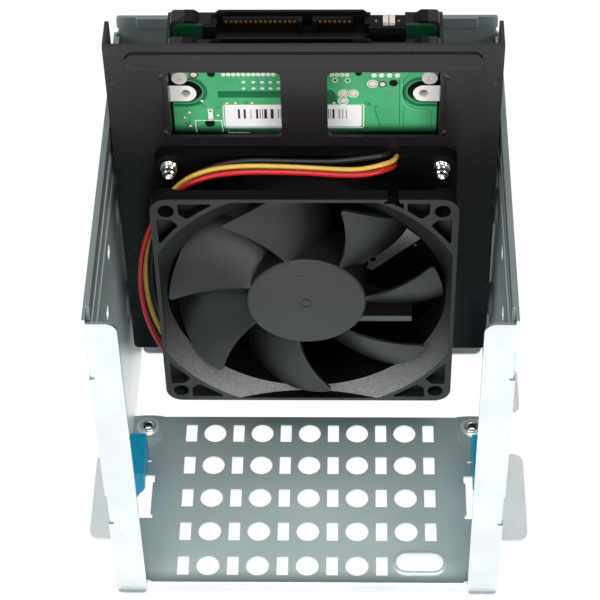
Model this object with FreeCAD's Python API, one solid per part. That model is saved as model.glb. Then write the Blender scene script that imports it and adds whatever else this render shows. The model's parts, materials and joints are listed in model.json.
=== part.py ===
import FreeCAD, Part
import math, os

V = FreeCAD.Vector
os.makedirs("parts", exist_ok=True)

# Drive mounting bracket: an open sheet-steel cage with a perforated base,
# a black tray that holds two small drives on end, an 80 mm fan on the front
# of the tray, and two sliding latches on the base.
# Frame: +Z up, +Y to the rear, origin under the middle of the cage on the floor.

# ---------------------------------------------------------------- driving dimensions (mm)
fan_y = -4.85            # front face of the fan
fan_z = 66.0             # height of the fan's axis
sheet_t = 0.8            # cage sheet
wall_in = 51.8           # inner face of each side wall
wall_out = wall_in + sheet_t
wall_front = -47.5       # the Y and Z values below are measured from the fan's front centre
wall_rear = 58.2
wall_top = 46.5
flange_in = 44.3         # inner edge of the folded front flange
foot_out = 62.0          # outer edge of the feet
base_top = -62.2
base_rear = 12.1
base_pitch_x, base_pitch_y = 13.82, 11.82
base_row0 = 5.85         # rearmost row of perforations
base_round_r = 3.2
base_slot_w, base_slot_l = 3.2, 6.15
nut_x, nut_y, nut_r, nut_hole_r = 47.4, 7.7, 2.2, 1.25
nut_h = 1.5              # nut above the base
latch_slot = (44.85, 51.0, -25.0, -9.8)
rear_top = 52.5
rear_lip_y = 39.6
tray_t = 1.0
tray_y = 20.0
tray_half = 50.7
tray_bottom, tray_top = -40.2, 74.5
tray_flange_d = 10.3
fan_size, fan_depth, fan_flange = 80.0, 20.0, 3.6
fan_bore_r, fan_duct_r = 37.7, 39.1
fan_mouth_r, fan_mouth_d = 43.4, 3.7
fan_rear_r, fan_rear_y = 41.0, 14.6    # flare of the bore towards the tray
fan_ledge, fan_ledge_y = 0.25, 12.1      # small ledge in the bore
fan_hole = 35.75
fan_hole_r = 2.15
tray_open_x, tray_open_z = 29.3, -29.7   # straight lower edge of the tray's fan opening
hub_r, hub_front, hub_back = 16.35, 0.8, 14.6
tip_r = 37.0
blade_n = 7
blade_first = 57.6       # leading edge at the hub, degrees from +X
blade_sweep = 18.0       # further turn of the leading edge at the tip
blade_chord = 43.0       # degrees from leading to trailing edge at the hub
blade_taper = 6.4        # degrees less at the tip
blade_y0, blade_y1 = 1.1, 13.0          # at the hub
blade_tip_y0, blade_tip_y1 = 0.75, 11.9  # at the tip
blade_round = 1.0        # corner of leading edge and tip
blade_t = 1.15
shaft_r, sleeve_in_r = 1.5, 1.53
drive_w, drive_l, drive_t = 69.85, 100.0, 9.5
drive_top = 68.0
drive_y = (25.0, 35.7)
drive_hole_x, drive_hole_z1, drive_hole_z2 = 30.86, 14.0, 90.6
tab_in = 34.93
wire_d = 1.4


def Y(v):
    return v + fan_y


def Z(v):
    return v + fan_z


# ---------------------------------------------------------------- shape helpers
def box(x0, x1, y0, y1, z0, z1):
    return Part.makeBox(abs(x1 - x0), abs(y1 - y0), abs(z1 - z0),
                        V(min(x0, x1), min(y0, y1), min(z0, z1)))


def cyl(axis, c, r, a, b):
    if axis == "x":
        return Part.makeCylinder(r, b - a, V(a, c[0], c[1]), V(1, 0, 0))
    if axis == "y":
        return Part.makeCylinder(r, b - a, V(c[0], a, c[1]), V(0, 1, 0))
    return Part.makeCylinder(r, b - a, V(c[0], c[1], a), V(0, 0, 1))


def cone_y(c, r0, r1, a, b):
    return Part.makeCone(r0, r1, b - a, V(c[0], a, c[1]), V(0, 1, 0))


def put(plane, u, v, w):
    if plane == "xz":
        return V(u, w, v)
    if plane == "xy":
        return V(u, v, w)
    return V(w, u, v)        # yz


def prism(plane, pts, a, b, radii=0.0):
    # closed outline with rounded corners, extruded from a to b
    n = len(pts)
    rad = [radii] * n if isinstance(radii, (int, float)) else list(radii)
    ends = []
    for i in range(n):
        p0, p, p1 = pts[i - 1], pts[i], pts[(i + 1) % n]
        ax, ay = p0[0] - p[0], p0[1] - p[1]
        bx, by = p1[0] - p[0], p1[1] - p[1]
        la, lb = math.hypot(ax, ay), math.hypot(bx, by)
        ax, ay, bx, by = ax / la, ay / la, bx / lb, by / lb
        if rad[i] <= 0:
            ends.append((p, None, p))
            continue
        cosphi = max(-1.0, min(1.0, ax * bx + ay * by))
        half = math.acos(cosphi) / 2
        t = rad[i] / math.tan(half)
        hx, hy = ax + bx, ay + by
        lh = math.hypot(hx, hy)
        hx, hy = hx / lh, hy / lh
        d = rad[i] / math.sin(half)
        m = (p[0] + hx * (d - rad[i]), p[1] + hy * (d - rad[i]))
        ends.append(((p[0] + ax * t, p[1] + ay * t), m, (p[0] + bx * t, p[1] + by * t)))
    edges = []
    for i in range(n):
        s, m, e = ends[i]
        if m is not None:
            edges.append(Part.Arc(put(plane, *s, a), put(plane, *m, a), put(plane, *e, a)).toShape())
        nx = ends[(i + 1) % n][0]
        if math.hypot(nx[0] - e[0], nx[1] - e[1]) > 1e-6:
            edges.append(Part.LineSegment(put(plane, *e, a), put(plane, *nx, a)).toShape())
    face = Part.Face(Part.Wire(edges))
    return face.extrude(put(plane, 0, 0, b) - put(plane, 0, 0, a))


def rect(plane, u0, u1, v0, v1, a, b, r=0.0):
    return prism(plane, [(u0, v0), (u1, v0), (u1, v1), (u0, v1)], a, b, r)


def stadium(plane, u0, u1, v0, v1, a, b):
    r = (v1 - v0) / 2
    c0, c1 = u0 + r, u1 - r
    vm = (v0 + v1) / 2
    P = lambda u, v: put(plane, u, v, a)
    edges = [Part.LineSegment(P(c0, v0), P(c1, v0)).toShape(),
             Part.Arc(P(c1, v0), P(u1, vm), P(c1, v1)).toShape(),
             Part.LineSegment(P(c1, v1), P(c0, v1)).toShape(),
             Part.Arc(P(c0, v1), P(u0, vm), P(c0, v0)).toShape()]
    face = Part.Face(Part.Wire(edges))
    return face.extrude(put(plane, 0, 0, b) - put(plane, 0, 0, a))


def union(first, *rest):
    rest = [r for r in rest]
    return first.multiFuse(rest).removeSplitter() if rest else first


def mirror_x(s):
    return s.mirror(V(0, 0, 0), V(1, 0, 0))


def pan_screw_y(c, y_seat, head_r, head_h, shank_r, y_tip):
    # head on +Y side of the seat, shank towards -Y with a hollow dog point
    head = Part.makeCylinder(head_r, head_h, V(c[0], y_seat, c[1]), V(0, 1, 0))
    rim = [e for e in head.Edges if abs(e.BoundBox.YMin - (y_seat + head_h)) < 1e-6
           and abs(e.BoundBox.YMax - (y_seat + head_h)) < 1e-6]
    head = head.makeFillet(head_h * 0.55, rim)
    yh = y_seat + head_h
    slot = box(c[0] - head_r * 0.55, c[0] + head_r * 0.55, yh - 1.0, yh + 1, c[1] - 0.45, c[1] + 0.45)
    slot2 = box(c[0] - 0.45, c[0] + 0.45, yh - 1.0, yh + 1, c[1] - head_r * 0.55, c[1] + head_r * 0.55)
    shank = cyl("y", c, shank_r, y_tip + 1.9, y_seat)
    neck = cyl("y", c, shank_r * 0.70, y_tip + 1.2, y_tip + 2.0)
    dog = union(cyl("y", c, shank_r * 0.84, y_tip + 0.3, y_tip + 1.3), cone_y(c, shank_r * 0.70, shank_r * 0.84, y_tip, y_tip + 0.3))
    dog = dog.cut(cone_y(c, shank_r * 0.52, shank_r * 0.2, y_tip - 0.001, y_tip + 0.8))
    return union(head.cut([slot, slot2]), shank, neck, dog)


def pan_screw_x(side, c, x_seat, head_r, head_h, shank_r, x_tip):
    # head outside, shank towards the middle; made on the +X side and mirrored
    head = Part.makeCylinder(head_r, head_h, V(x_seat, c[0], c[1]), V(1, 0, 0))
    xh = x_seat + head_h
    rim = [e for e in head.Edges if abs(e.BoundBox.XMin - xh) < 1e-6 and abs(e.BoundBox.XMax - xh) < 1e-6]
    head = head.makeFillet(head_h * 0.55, rim)
    slot = box(xh - 0.8, xh + 1, c[0] - head_r * 0.6, c[0] + head_r * 0.6, c[1] - 0.35, c[1] + 0.35)
    slot2 = box(xh - 0.8, xh + 1, c[0] - 0.35, c[0] + 0.35, c[1] - head_r * 0.6, c[1] + head_r * 0.6)
    s = union(head.cut([slot, slot2]), cyl("x", c, shank_r, x_tip, x_seat))
    return s if side > 0 else mirror_x(s)


parts = {}

# ---------------------------------------------------------------- side walls
yf, yr = Y(wall_front), Y(wall_rear)
tray_screw_at = [(Y(25.5), Z(-25.0)), (Y(25.5), Z(12.0))]
wall_holes = [(Y(0.5), Z(20.0)), (Y(-13.0), Z(11.0))]


def side_wall():
    # right-hand wall; front flange folded inwards, feet folded outwards
    wall = box(wall_in, wall_out, yf, yr, 0, Z(wall_top))
    # folded front flange with rounded inner top corner and outer bottom corner
    flange = prism("xz", [(flange_in, 0.0), (wall_out, 0.0), (wall_out, Z(45.0)), (flange_in, Z(45.0))],
                   yf, yf + sheet_t, [0.6, 1.4, 0.3, 3.0])
    # narrow ledge at the flange's foot
    ledge = prism("xy", [(flange_in + 0.4, yf + sheet_t), (flange_in + 0.4, yf - 1.0),
                         (wall_out - 0.3, yf - 1.0), (wall_out - 0.3, yf + sheet_t)], 0.0, 0.8, [0, 1.0, 1.4, 0])
    # hem folded back on the inside of the top edge, and two long shallow beads
    hem = box(wall_in - 0.75, wall_in, Y(-43.0), Y(56.4), Z(wall_top - 5.0), Z(wall_top))
    beads = []
    grooves = []
    for bz, r in ((27.0, 1.3), (35.0, 1.3)):
        beads.append(cyl("y", (wall_in + 0.75, Z(bz)), r, Y(-42.0), Y(46.5)))
        grooves.append(cyl("y", (wall_out + 0.35, Z(bz)), 0.75, Y(-41.5), Y(46.0)))
    keep = box(wall_in - 2, wall_out, yf, yr, 0, Z(wall_top))
    beads = [b.common(keep) for b in beads]
    # feet
    feet = []
    for y0, y1 in ((-30.05, 0.9), (16.4, 34.2)):
        feet.append(prism("xy", [(wall_in, Y(y0)), (foot_out, Y(y0)), (foot_out, Y(y1)), (wall_in, Y(y1))],
                          0.0, sheet_t, [0, 3.0, 3.0, 0]))
    # narrow tab lapped over the base's front corner
    lap = prism("xy", [(43.5, yf + sheet_t + 0.1), (wall_in + 0.1, yf + sheet_t + 0.1), (wall_in + 0.1, Y(-34.4)), (43.9, Y(-34.4))],
                Z(base_top), Z(base_top) + 0.4, [0, 0, 0, 0.8])
    # pressed seats that meet the tray's side flanges
    seats = []
    for c in tray_screw_at:
        seats.append(Part.makeCone(4.0, 5.4, wall_in - tray_half, V(tray_half, c[0], c[1]), V(1, 0, 0)))
    s = union(wall, flange, ledge, lap, hem, *beads, *feet, *seats)
    cuts = list(grooves)
    for c in tray_screw_at:
        cuts.append(cyl("x", c, 1.6, tray_half - 1, wall_out + 1))
        cuts.append(Part.makeCone(2.9, 4.4, sheet_t + 0.35, V(wall_out - sheet_t + 0.25, c[0], c[1]), V(1, 0, 0)))
    for c in wall_holes:
        cuts.append(cyl("x", c, 2.0, wall_in - 2, wall_out + 1))
    # relief notches in the outer front corner, each with a small round end
    for z0, z1 in ((24.5, 35.5), (-35.0, -22.7)):
        cuts.append(box(wall_out - 0.55, wall_out + 1, yf - 1, yf + 2.2, Z(z0), Z(z1)))
        cuts.append(cyl("y", (wall_out - 0.9, Z(z0) + 0.6), 0.6, yf - 1, yf + 0.5))
    return s.cut(cuts).removeSplitter()


right = side_wall()
parts["right_side_wall"] = right
parts["left_side_wall"] = mirror_x(right)

# ---------------------------------------------------------------- rear wall
ry0, ry1 = yr - sheet_t, yr
ear = wall_in - 0.15
rear = prism("xz", [(-wall_in, 0), (wall_in, 0), (wall_in, Z(47.0)), (wall_in - 0.5, Z(47.0)), (wall_in - 0.5, Z(48.6)), (ear, Z(48.6)), (ear, Z(rear_top)),
                    (-ear, Z(rear_top)), (-ear, Z(48.6)), (-wall_in + 0.5, Z(48.6)), (-wall_in + 0.5, Z(47.0)), (-wall_in, Z(47.0))],
             ry0, ry1, [0, 0, 0.3, 0, 0, 0.2, 0.9, 0.9, 0.2, 0, 0, 0.3])
rear_hem = rect("xz", -46.0, 46.0, Z(rear_top - 3.2), Z(rear_top), ry0 - 0.75, ry0)
rear_floor = prism("xy", [(-wall_in + 0.3, Y(rear_lip_y)), (wall_in - 0.3, Y(rear_lip_y)), (wall_in - 0.3, ry0 + 0.2), (-wall_in + 0.3, ry0 + 0.2)],
                   0.0, sheet_t, [2.5, 2.5, 0, 0])
returns = []
for s in (-1, 1):
    returns.append(prism("yz", [(Y(47.5), 4.0), (ry0 + 0.2, 4.0), (ry0 + 0.2, Z(40.0)), (Y(47.5), Z(40.0))],
                         s * wall_in, s * (wall_in - sheet_t), [2.5, 0, 0, 2.5]))
parts["rear_wall"] = union(rear, rear_hem, rear_floor, *returns)

# ---------------------------------------------------------------- base plate
bt = Z(base_top)
bb = bt - sheet_t
plate = box(-wall_in, wall_in, yf + sheet_t + 0.1, Y(base_rear), bb, bt)
front_lip = prism("yz", [(yf + 3.0, bt), (yf, bt), (yf, 0.0), (yf + sheet_t, 0.0), (yf + sheet_t, bb), (yf + 3.0, bb)],
                  -43.1, 43.1, [0, 0.9, 0, 0, 0.3, 0])
side_lips = []
for s in (-1, 1):
    side_lips.append(box(s * wall_in, s * (wall_in - sheet_t), yf + sheet_t + 0.1, Y(-27.0), 0.0, bb))
    side_lips.append(box(s * wall_in, s * (wall_in - sheet_t), Y(-8.0), Y(base_rear), 0.0, bb))
domes, dome_cuts = [], []
for s in (-1, 1):
    # wide pressed seat, clipped by the wall, the rear edge and a straight inner side
    keep = box(s * 43.1, s * wall_in, Y(-2), Y(base_rear), bt - 1, bt + 3)
    dome = union(Part.makeCone(7.2, 3.9, 0.75, V(s * nut_x, Y(nut_y), bt), V(0, 0, 1)),
                 Part.makeCone(4.0, 2.5, 0.75, V(s * nut_x, Y(nut_y), bt + 0.4), V(0, 0, 1)))
    domes.append(dome.common(keep))
    keep = box(s * 43.5, s * (wall_in - 0.4), Y(-2), Y(base_rear - 0.4), bb - 1, bt + 3)
    dome_cuts.append(Part.makeCone(6.6, 3.4, 0.7, V(s * nut_x, Y(nut_y), bb - 0.001), V(0, 0, 1)).common(keep))
    dome_cuts.append(cyl("z", (s * nut_x, Y(nut_y)), nut_r, bb - 1, bt + 3))
    dome_cuts.append(box(s * 45.6, s * 47.2, Y(-4.9), Y(-4.35), bb - 1, bt + 1))
slot_x0, slot_x1, slot_y0, slot_y1 = 24.7, 37.8, -43.4, -37.4
rim = stadium("xy", slot_x0 - 0.9, slot_x1 + 0.9, Y(slot_y0 - 0.9), Y(slot_y1 + 0.9), bt, bt + 0.6)
tops = [e for e in rim.Edges if e.BoundBox.ZMin > bt + 0.599]
rim = rim.makeFillet(0.45, tops)
base = union(plate, front_lip, rim, *side_lips, *domes)
cuts = list(dome_cuts)
for row in range(5):
    y = Y(base_row0 - row * base_pitch_y)
    for k in range(-2, 3):
        if row == 4 and k == 2:
            continue
        cuts.append(cyl("z", (k * base_pitch_x, y), base_round_r, bb - 1, bt + 1))
    for k in range(-3, 3):
        x = (k + 0.5) * base_pitch_x
        if row == 4 and k == 2:
            continue
        cuts.append(box(x - base_slot_w / 2, x + base_slot_w / 2, y - base_slot_l / 2, y + base_slot_l / 2, bb - 1, bt + 1))
cuts.append(stadium("xy", slot_x0, slot_x1, Y(slot_y0), Y(slot_y1), bb - 1, bt + 2))
for s in (-1, 1):
    x0, x1, y0, y1 = latch_slot
    pts = [(x0 - 0.5, y1), (x1, y1), (x1, y0), (x0 - 0.6, y0), (x0 - 0.6, y0 + 1.3), (x0, y0 + 1.3), (x0, y1 - 2.5), (x0 - 0.5, y1 - 2.5)]
    c = prism("xy", [(u, Y(v)) for u, v in pts], bb - 0.001, bt + 1)
    cuts.append(c if s > 0 else mirror_x(c))
parts["base_plate"] = base.cut(cuts)

nuts = []
for s in (-1, 1):
    body = cyl("z", (s * nut_x, Y(nut_y)), nut_r, bb, bt + nut_h)
    top = [e for e in body.Edges if e.BoundBox.ZMin > bt + nut_h - 0.001]
    body = body.makeFillet(0.35, top)
    nuts.append(body.cut([cyl("z", (s * nut_x, Y(nut_y)), nut_hole_r, bb - 1, bt + 4),
                          Part.makeCone(nut_hole_r, nut_hole_r + 0.35, 0.3, V(s * nut_x, Y(nut_y), bt + nut_h - 0.25), V(0, 0, 1))]))
parts["base_standoffs"] = Part.makeCompound(nuts)

# ---------------------------------------------------------------- sliding latches
def latch():
    # plain block on the base; its nose drops through the slot and hooks under the plate's outer edge
    zl = bt + 0.3
    zt = Z(-53.0)
    body = prism("xz", [(46.7, zl), (51.4, zl), (51.4, zt), (46.7, zt)], Y(-16.2), Y(-1.7), [0.2, 0.2, 0.3, 0.3])
    # lower inner edge cut back
    under = prism("xz", [(45.0, zl - 1), (48.35, zl - 1), (45.0, Z(-57.2))], Y(-17.0), Y(-9.0))
    nose = prism("xz", [(46.7, Z(-55.0)), (46.7, Z(-59.9)), (48.9, Z(-63.4)), (50.6, Z(-63.4)), (50.6, Z(-55.0))], Y(-16.2), Y(-10.9), 0)
    hook = prism("xz", [(48.9, bb - 0.3), (48.9, bb - 1.0), (49.4, bb - 1.5), (51.5, bb - 1.5), (51.5, bb - 0.3)], Y(-16.0), Y(-11.2), 0.1)
    return union(body.cut(under), nose, hook)


lt = latch()
parts["right_latch"] = lt
parts["left_latch"] = mirror_x(lt)

# ---------------------------------------------------------------- drive tray
ty0, ty1 = Y(tray_y), Y(tray_y) + tray_t
panel = prism("xz", [(-tray_half, Z(tray_bottom)), (tray_half, Z(tray_bottom)), (tray_half, Z(tray_top)), (-tray_half, Z(tray_top))],
              ty0, ty1, [1.5, 1.5, 0.8, 0.8])
bead = stadium("xz", -45.5, 45.5, Z(66.9), Z(72.4), ty0 - 0.55, ty0 + 0.4)
bead = bead.makeFillet(0.5, [e for e in bead.Edges if e.BoundBox.YMax < ty0 - 0.549])
t_add = [bead]
for s in (-1, 1):
    t_add.append(prism("yz", [(ty0 + 0.2, Z(-35.0)), (Y(tray_y + tray_flange_d), Z(-35.0)), (Y(tray_y + tray_flange_d), Z(tray_top)), (ty0 + 0.2, Z(tray_top))],
                       s * tray_half, s * (tray_half - tray_t), [0, 2.5, 1.0, 0]))
    # tabs folded back beside the drives
    for z0, z1 in ((-31.0, 64.8),):
        t_add.append(prism("yz", [(ty0 + 0.3, Z(z0)), (Y(46.0), Z(z0)), (Y(46.0), Z(z1)), (ty0 + 0.3, Z(z1))],
                           s * tab_in, s * (tab_in + tray_t), [0, 2.0, 2.0, 0]))
t_cut = [stadium("xz", -44.9, 44.9, Z(67.5), Z(71.8), ty1 - 0.5, ty1 + 1),
         cyl("y", (0, Z(0)), fan_bore_r, ty0 - 1, ty1).common(box(-tab_in, tab_in, ty0 - 2, ty1 + 2, Z(tray_open_z), Z(50))),
         box(-tray_open_x, tray_open_x, ty0 - 1, ty1, Z(tray_open_z), Z(0))]
windows = []
for s in (-1, 1):
    u = sorted((s * 6.0, s * 37.0))
    windows.append(rect("xz", u[0], u[1], Z(43.2), Z(65.6), ty0 - 1, ty1 + 0.5, 1.8))
    for sz in (-1, 1):
        t_cut.append(cyl("y", (s * fan_hole, Z(sz * fan_hole)), 2.3, ty0 - 1, ty1 + 1))
    for c in tray_screw_at:
        h = cyl("x", c, 1.25, tray_half - 3, tray_half + 1)
        t_cut.append(h if s > 0 else mirror_x(h))
    for dy in drive_y:
        for dz in (drive_hole_z1, drive_hole_z2):
            h = cyl("x", (Y(dy + 3.0), Z(drive_top - dz)), 1.6, tab_in - 1, tab_in + 3)
            t_cut.append(h if s > 0 else mirror_x(h))
    # the side tabs clear the upper fan screws' heads
    t_cut.append(cyl("y", (s * fan_hole, Z(fan_hole)), 3.9, ty1, ty1 + 3.2))
    # small dimples near the panel's upper edges
    t_cut.append(Part.makeSphere(1.6, V(s * (tray_half - 1.6), ty0 - 1.2, Z(62.5))))
tray = panel.cut(windows)
tray = union(tray, *t_add).cut(t_cut)
# the upper tabs meet the panel above and below each window through a short root
roots = []
for s in (-1, 1):
    for z0, z1 in ((43.0, 45.0), (64.2, 66.0)):
        roots.append(box(s * tab_in, s * (tab_in + tray_t), ty0, ty1 + 2.0, Z(z0), Z(z1)))
    # rounded bend from the panel into the tab
    bend = [(37.3, ty0), (37.3, ty1), (35.93, ty1 + 0.9), (34.93, ty1 + 0.9), (34.93, ty0 + 1.75), (35.2, ty0 + 1.1), (35.7, ty0 + 0.5), (36.4, ty0 + 0.12)]
    roots.append(prism("xy", [(s * u, v) for u, v in bend], Z(45.4), Z(62.7)))
tray = union(tray, *roots)
parts["drive_tray"] = tray

parts["tray_screws"] = Part.makeCompound(
    [pan_screw_x(s, c, wall_out - 0.55, 2.6, 1.7, 1.25, 48.6) for s in (-1, 1) for c in tray_screw_at])

# ---------------------------------------------------------------- fan frame
h = fan_size / 2
fy0, fy1, fy2, fy3 = Y(0), Y(fan_flange), Y(fan_depth - fan_flange), Y(fan_depth)
zc = Z(0)
front = rect("xz", -h, h, zc - h, zc + h, fy0, fy1, 4.6)
back = rect("xz", -h, h, zc - h, zc + h, fy2, fy3, 4.6)
pocket_pts = [(-32.7, 38.3), (-23.3, 38.3), (-30.5, 32.9), (-32.6, 34.6)]
pockets = []
for sx in (-1, 1):
    for sz in (-1, 1):
        a = [(sx * -u, zc + sz * v) for u, v in pocket_pts]
        b = [(sx * v, zc + sz * -u) for u, v in pocket_pts]
        if not (sx > 0 and sz > 0):
            pockets.append(prism("xz", a, fy0 - 1, fy1 - 0.8, 0.35))
        pockets.append(prism("xz", b, fy0 - 1, fy1 - 0.8, 0.35))
# the upper right pocket is split by a rib beside the lead's nick
pockets.append(prism("xz", [(u, zc + v) for u, v in ((26.6, 38.6), (32.5, 38.6), (32.4, 34.8), (30.4, 32.95), (26.65, 35.55))], fy0 - 1, fy1 - 0.8, 0.3))
pockets.append(prism("xz", [(u, zc + v) for u, v in ((20.6, 38.55), (25.65, 38.55), (25.65, 35.9), (24.0, 36.75))], fy0 - 1, fy1 + 1, 0.15))
front = front.cut(pockets)
bosses = [cyl("y", (sx * fan_hole, zc + sz * fan_hole), 3.7, fy1, Y(5.0)) for sx in (-1, 1) for sz in (-1, 1)]
square = rect("xz", -h, h, zc - h, zc + h, fy0, fy3, 4.6)
mouth_out = cone_y((0, zc), fan_mouth_r + 1.3, fan_duct_r, fy0, fy0 + fan_mouth_d + 0.6).common(square)
duct = cyl("y", (0, zc), fan_duct_r, fy0 + 2.0, fy3)
frame = union(front, back, mouth_out, duct, *bosses)
square_in = box(-h + 1.1, h - 1.1, fy0 - 1, fy3 + 1, zc - h + 1.1, zc + h - 1.1)
k = (fan_mouth_r - fan_bore_r) / fan_mouth_d
mouth_in = cone_y((0, zc), fan_mouth_r + k, fan_bore_r, fy0 - 1, fy0 + fan_mouth_d).common(square_in)
rear_in = cone_y((0, zc), fan_bore_r - fan_ledge - 0.01, fan_rear_r, Y(fan_rear_y), fy3 + 0.001).common(square_in)
f_cut = [cyl("y", (0, zc), fan_bore_r, fy0 - 1, Y(fan_ledge_y)), cyl("y", (0, zc), fan_bore_r - fan_ledge, fy0 - 1, fy3 + 1), mouth_in, rear_in]
for sx in (-1, 1):
    for sz in (-1, 1):
        f_cut.append(cyl("y", (sx * fan_hole, zc + sz * fan_hole), fan_hole_r, fy0 - 1, fy3 + 1))
# lead slot through the rear flange, and a matching nick in the front flange
f_cut.append(box(20.4, 25.0, fy2 - 1, fy3 + 1, Z(33.4), Z(41)))
f_cut.append(prism("xz", [(20.3, Z(38.5)), (21.42, Z(39.8)), (21.6, Z(41)), (24.2, Z(41)), (24.28, Z(39.77)), (24.9, Z(38.5))], fy0 - 1, fy1 + 1, 0))
frame = frame.cut(f_cut)
motor_base = cyl("y", (0, zc), 16.8, Y(17.2), Y(19.2))
tube = cyl("y", (0, zc), 4.0, Y(6.4), Y(17.2))
struts = []
for i in range(4):
    a = b = math.radians(-25 + 90 * i)
    p = (15.5 * math.cos(a), 15.5 * math.sin(a))
    q = (41.8 * math.cos(b), 41.8 * math.sin(b))
    d = math.hypot(q[0] - p[0], q[1] - p[1])
    nx, nz = -(q[1] - p[1]) / d, (q[0] - p[0]) / d
    w0, w1 = 1.6, 2.1
    struts.append(prism("xz", [(p[0] + nx * w0, zc + p[1] + nz * w0), (p[0] - nx * w0, zc + p[1] - nz * w0),
                               (q[0] - nx * w1, zc + q[1] - nz * w1), (q[0] + nx * w1, zc + q[1] + nz * w1)], Y(16.9), Y(19.2)).common(square))
frame = union(frame, motor_base, tube, *struts)
frame = frame.cut([cyl("y", (0, zc), 2.9, Y(6.0), Y(17.2)), cyl("y", (0, zc), 3.0, Y(17.0), Y(20))])
parts["fan_frame"] = frame

# ---------------------------------------------------------------- impeller
def blade(theta0):
    # flat sections across the blade, lofted outwards and trimmed to the tip circle
    def lead(r):
        return math.radians(theta0 + blade_sweep * (r - hub_r) / (tip_r - hub_r))

    def chord(r):
        return math.radians(blade_chord - blade_taper * (r - hub_r) / (tip_r - hub_r))

    def depth(r, t):
        # an even slope at the hub; at the tip flat behind the leading edge and steep further back
        f = max(0.0, min(1.0, (r - hub_r) / (tip_r - hub_r)))
        root = blade_y0 + (blade_y1 - blade_y0) * (0.72 * t + 0.28 * t * t)
        tip = blade_tip_y0 + (blade_tip_y1 - blade_tip_y0) * t ** 2.5
        return root + (tip - root) * f

    mid = lead(27.0) - chord(27.0) / 2
    er, et = (math.cos(mid), math.sin(mid)), (-math.sin(mid), math.cos(mid))
    wires = []
    for d in (14.2, 20.0, 26.0, 32.0, 38.6):
        n = 8
        pts = []
        for i in range(n + 1):
            t = i / n
            r = d
            for _ in range(40):
                th = lead(r) - chord(r) * t
                r = 0.5 * r + 0.5 * d / math.cos(max(-1.0, min(1.0, th - mid)))
            pts.append((d * math.tan(th - mid), depth(r, t)))
        up, dn = [], []
        for i in range(n + 1):
            p0, p1 = pts[max(0, i - 1)], pts[min(n, i + 1)]
            ds, dy = p1[0] - p0[0], p1[1] - p0[1]
            ln = math.hypot(ds, dy)
            ns, ny = dy / ln, -ds / ln
            half = blade_t / 2 * (0.5 + 0.5 * math.sin(math.pi * (0.08 + 0.84 * i / n)))
            for lst, sg in ((up, 1), (dn, -1)):
                q = (pts[i][0] + sg * half * ns, pts[i][1] + sg * half * ny)
                lst.append(V(d * er[0] + q[0] * et[0], Y(q[1]), zc + d * er[1] + q[0] * et[1]))
        c1, c2 = Part.BSplineCurve(), Part.BSplineCurve()
        c1.interpolate(up)
        c2.interpolate(dn[::-1])
        wires.append(Part.Wire([c1.toShape(), Part.LineSegment(up[-1], dn[-1]).toShape(),
                                c2.toShape(), Part.LineSegment(dn[0], up[0]).toShape()]))
    solid = Part.makeLoft(wires, True, False).common(cyl("y", (0, zc), tip_r, Y(-1), Y(16)))
    # round the corner where the leading edge meets the tip
    a, b = lead(tip_r), lead(tip_r - 2.0)
    c = (tip_r * math.cos(a), tip_r * math.sin(a))
    u = ((tip_r - 2.0) * math.cos(b) - c[0], (tip_r - 2.0) * math.sin(b) - c[1])
    ln = math.hypot(*u)
    u, v = (u[0] / ln, u[1] / ln), (math.sin(a), -math.cos(a))
    half = math.acos(u[0] * v[0] + u[1] * v[1]) / 2
    m = (u[0] + v[0], u[1] + v[1])
    ln = math.hypot(*m)
    m = (m[0] / ln, m[1] / ln)
    o = (c[0] + m[0] * blade_round / math.sin(half), c[1] + m[1] * blade_round / math.sin(half))
    k = blade_round / math.tan(half)
    t1, t2 = (c[0] + u[0] * k, c[1] + u[1] * k), (c[0] + v[0] * k, c[1] + v[1] * k)
    a1 = math.atan2(t1[1] - o[1], t1[0] - o[0])
    turn = (math.atan2(t2[1] - o[1], t2[0] - o[0]) - a1 + math.pi) % (2 * math.pi) - math.pi
    arc = [(o[0] + blade_round * math.cos(a1 + turn * i / 8), zc + o[1] + blade_round * math.sin(a1 + turn * i / 8)) for i in range(9)]
    far = [(q[0] - m[0] * 3, zc + q[1] - m[1] * 3) for q in (t2, c, t1)]
    return solid.cut(prism("xz", arc + far, Y(-1), Y(16)))


hub = cyl("y", (0, zc), hub_r, Y(hub_front), Y(hub_back))
edge = [e for e in hub.Edges if abs(e.BoundBox.YMin - Y(hub_front)) < 1e-6 and abs(e.BoundBox.YMax - Y(hub_front)) < 1e-6]
hub = hub.makeFillet(1.0, edge)
hub = hub.cut(cyl("y", (0, zc), 15.0, Y(2.2), Y(hub_back + 1)))
boss = cyl("y", (0, zc), 3.2, Y(2.0), Y(6.0))
blades = [blade(blade_first + i * 360.0 / blade_n) for i in range(blade_n)]
imp = hub.multiFuse(blades + [boss])
imp = imp.cut([cyl("y", (0, zc), shaft_r, Y(2.6), Y(8)), cyl("y", (0, zc), 1.75, Y(hub_front - 1), Y(hub_front + 0.15)).cut(
    cyl("y", (0, zc), 1.2, Y(hub_front - 1), Y(hub_front + 1))), cyl("y", (-1.2, zc + 11.3), 1.1, Y(hub_front - 1), Y(hub_front + 0.1))])
# keep the hub's hollow clear of the blade roots
imp = imp.cut(cyl("y", (0, zc), 15.0, Y(2.2), Y(hub_back + 1)).cut(cyl("y", (0, zc), 3.2, Y(2.0), Y(6.0))))
parts["fan_impeller"] = imp

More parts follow.
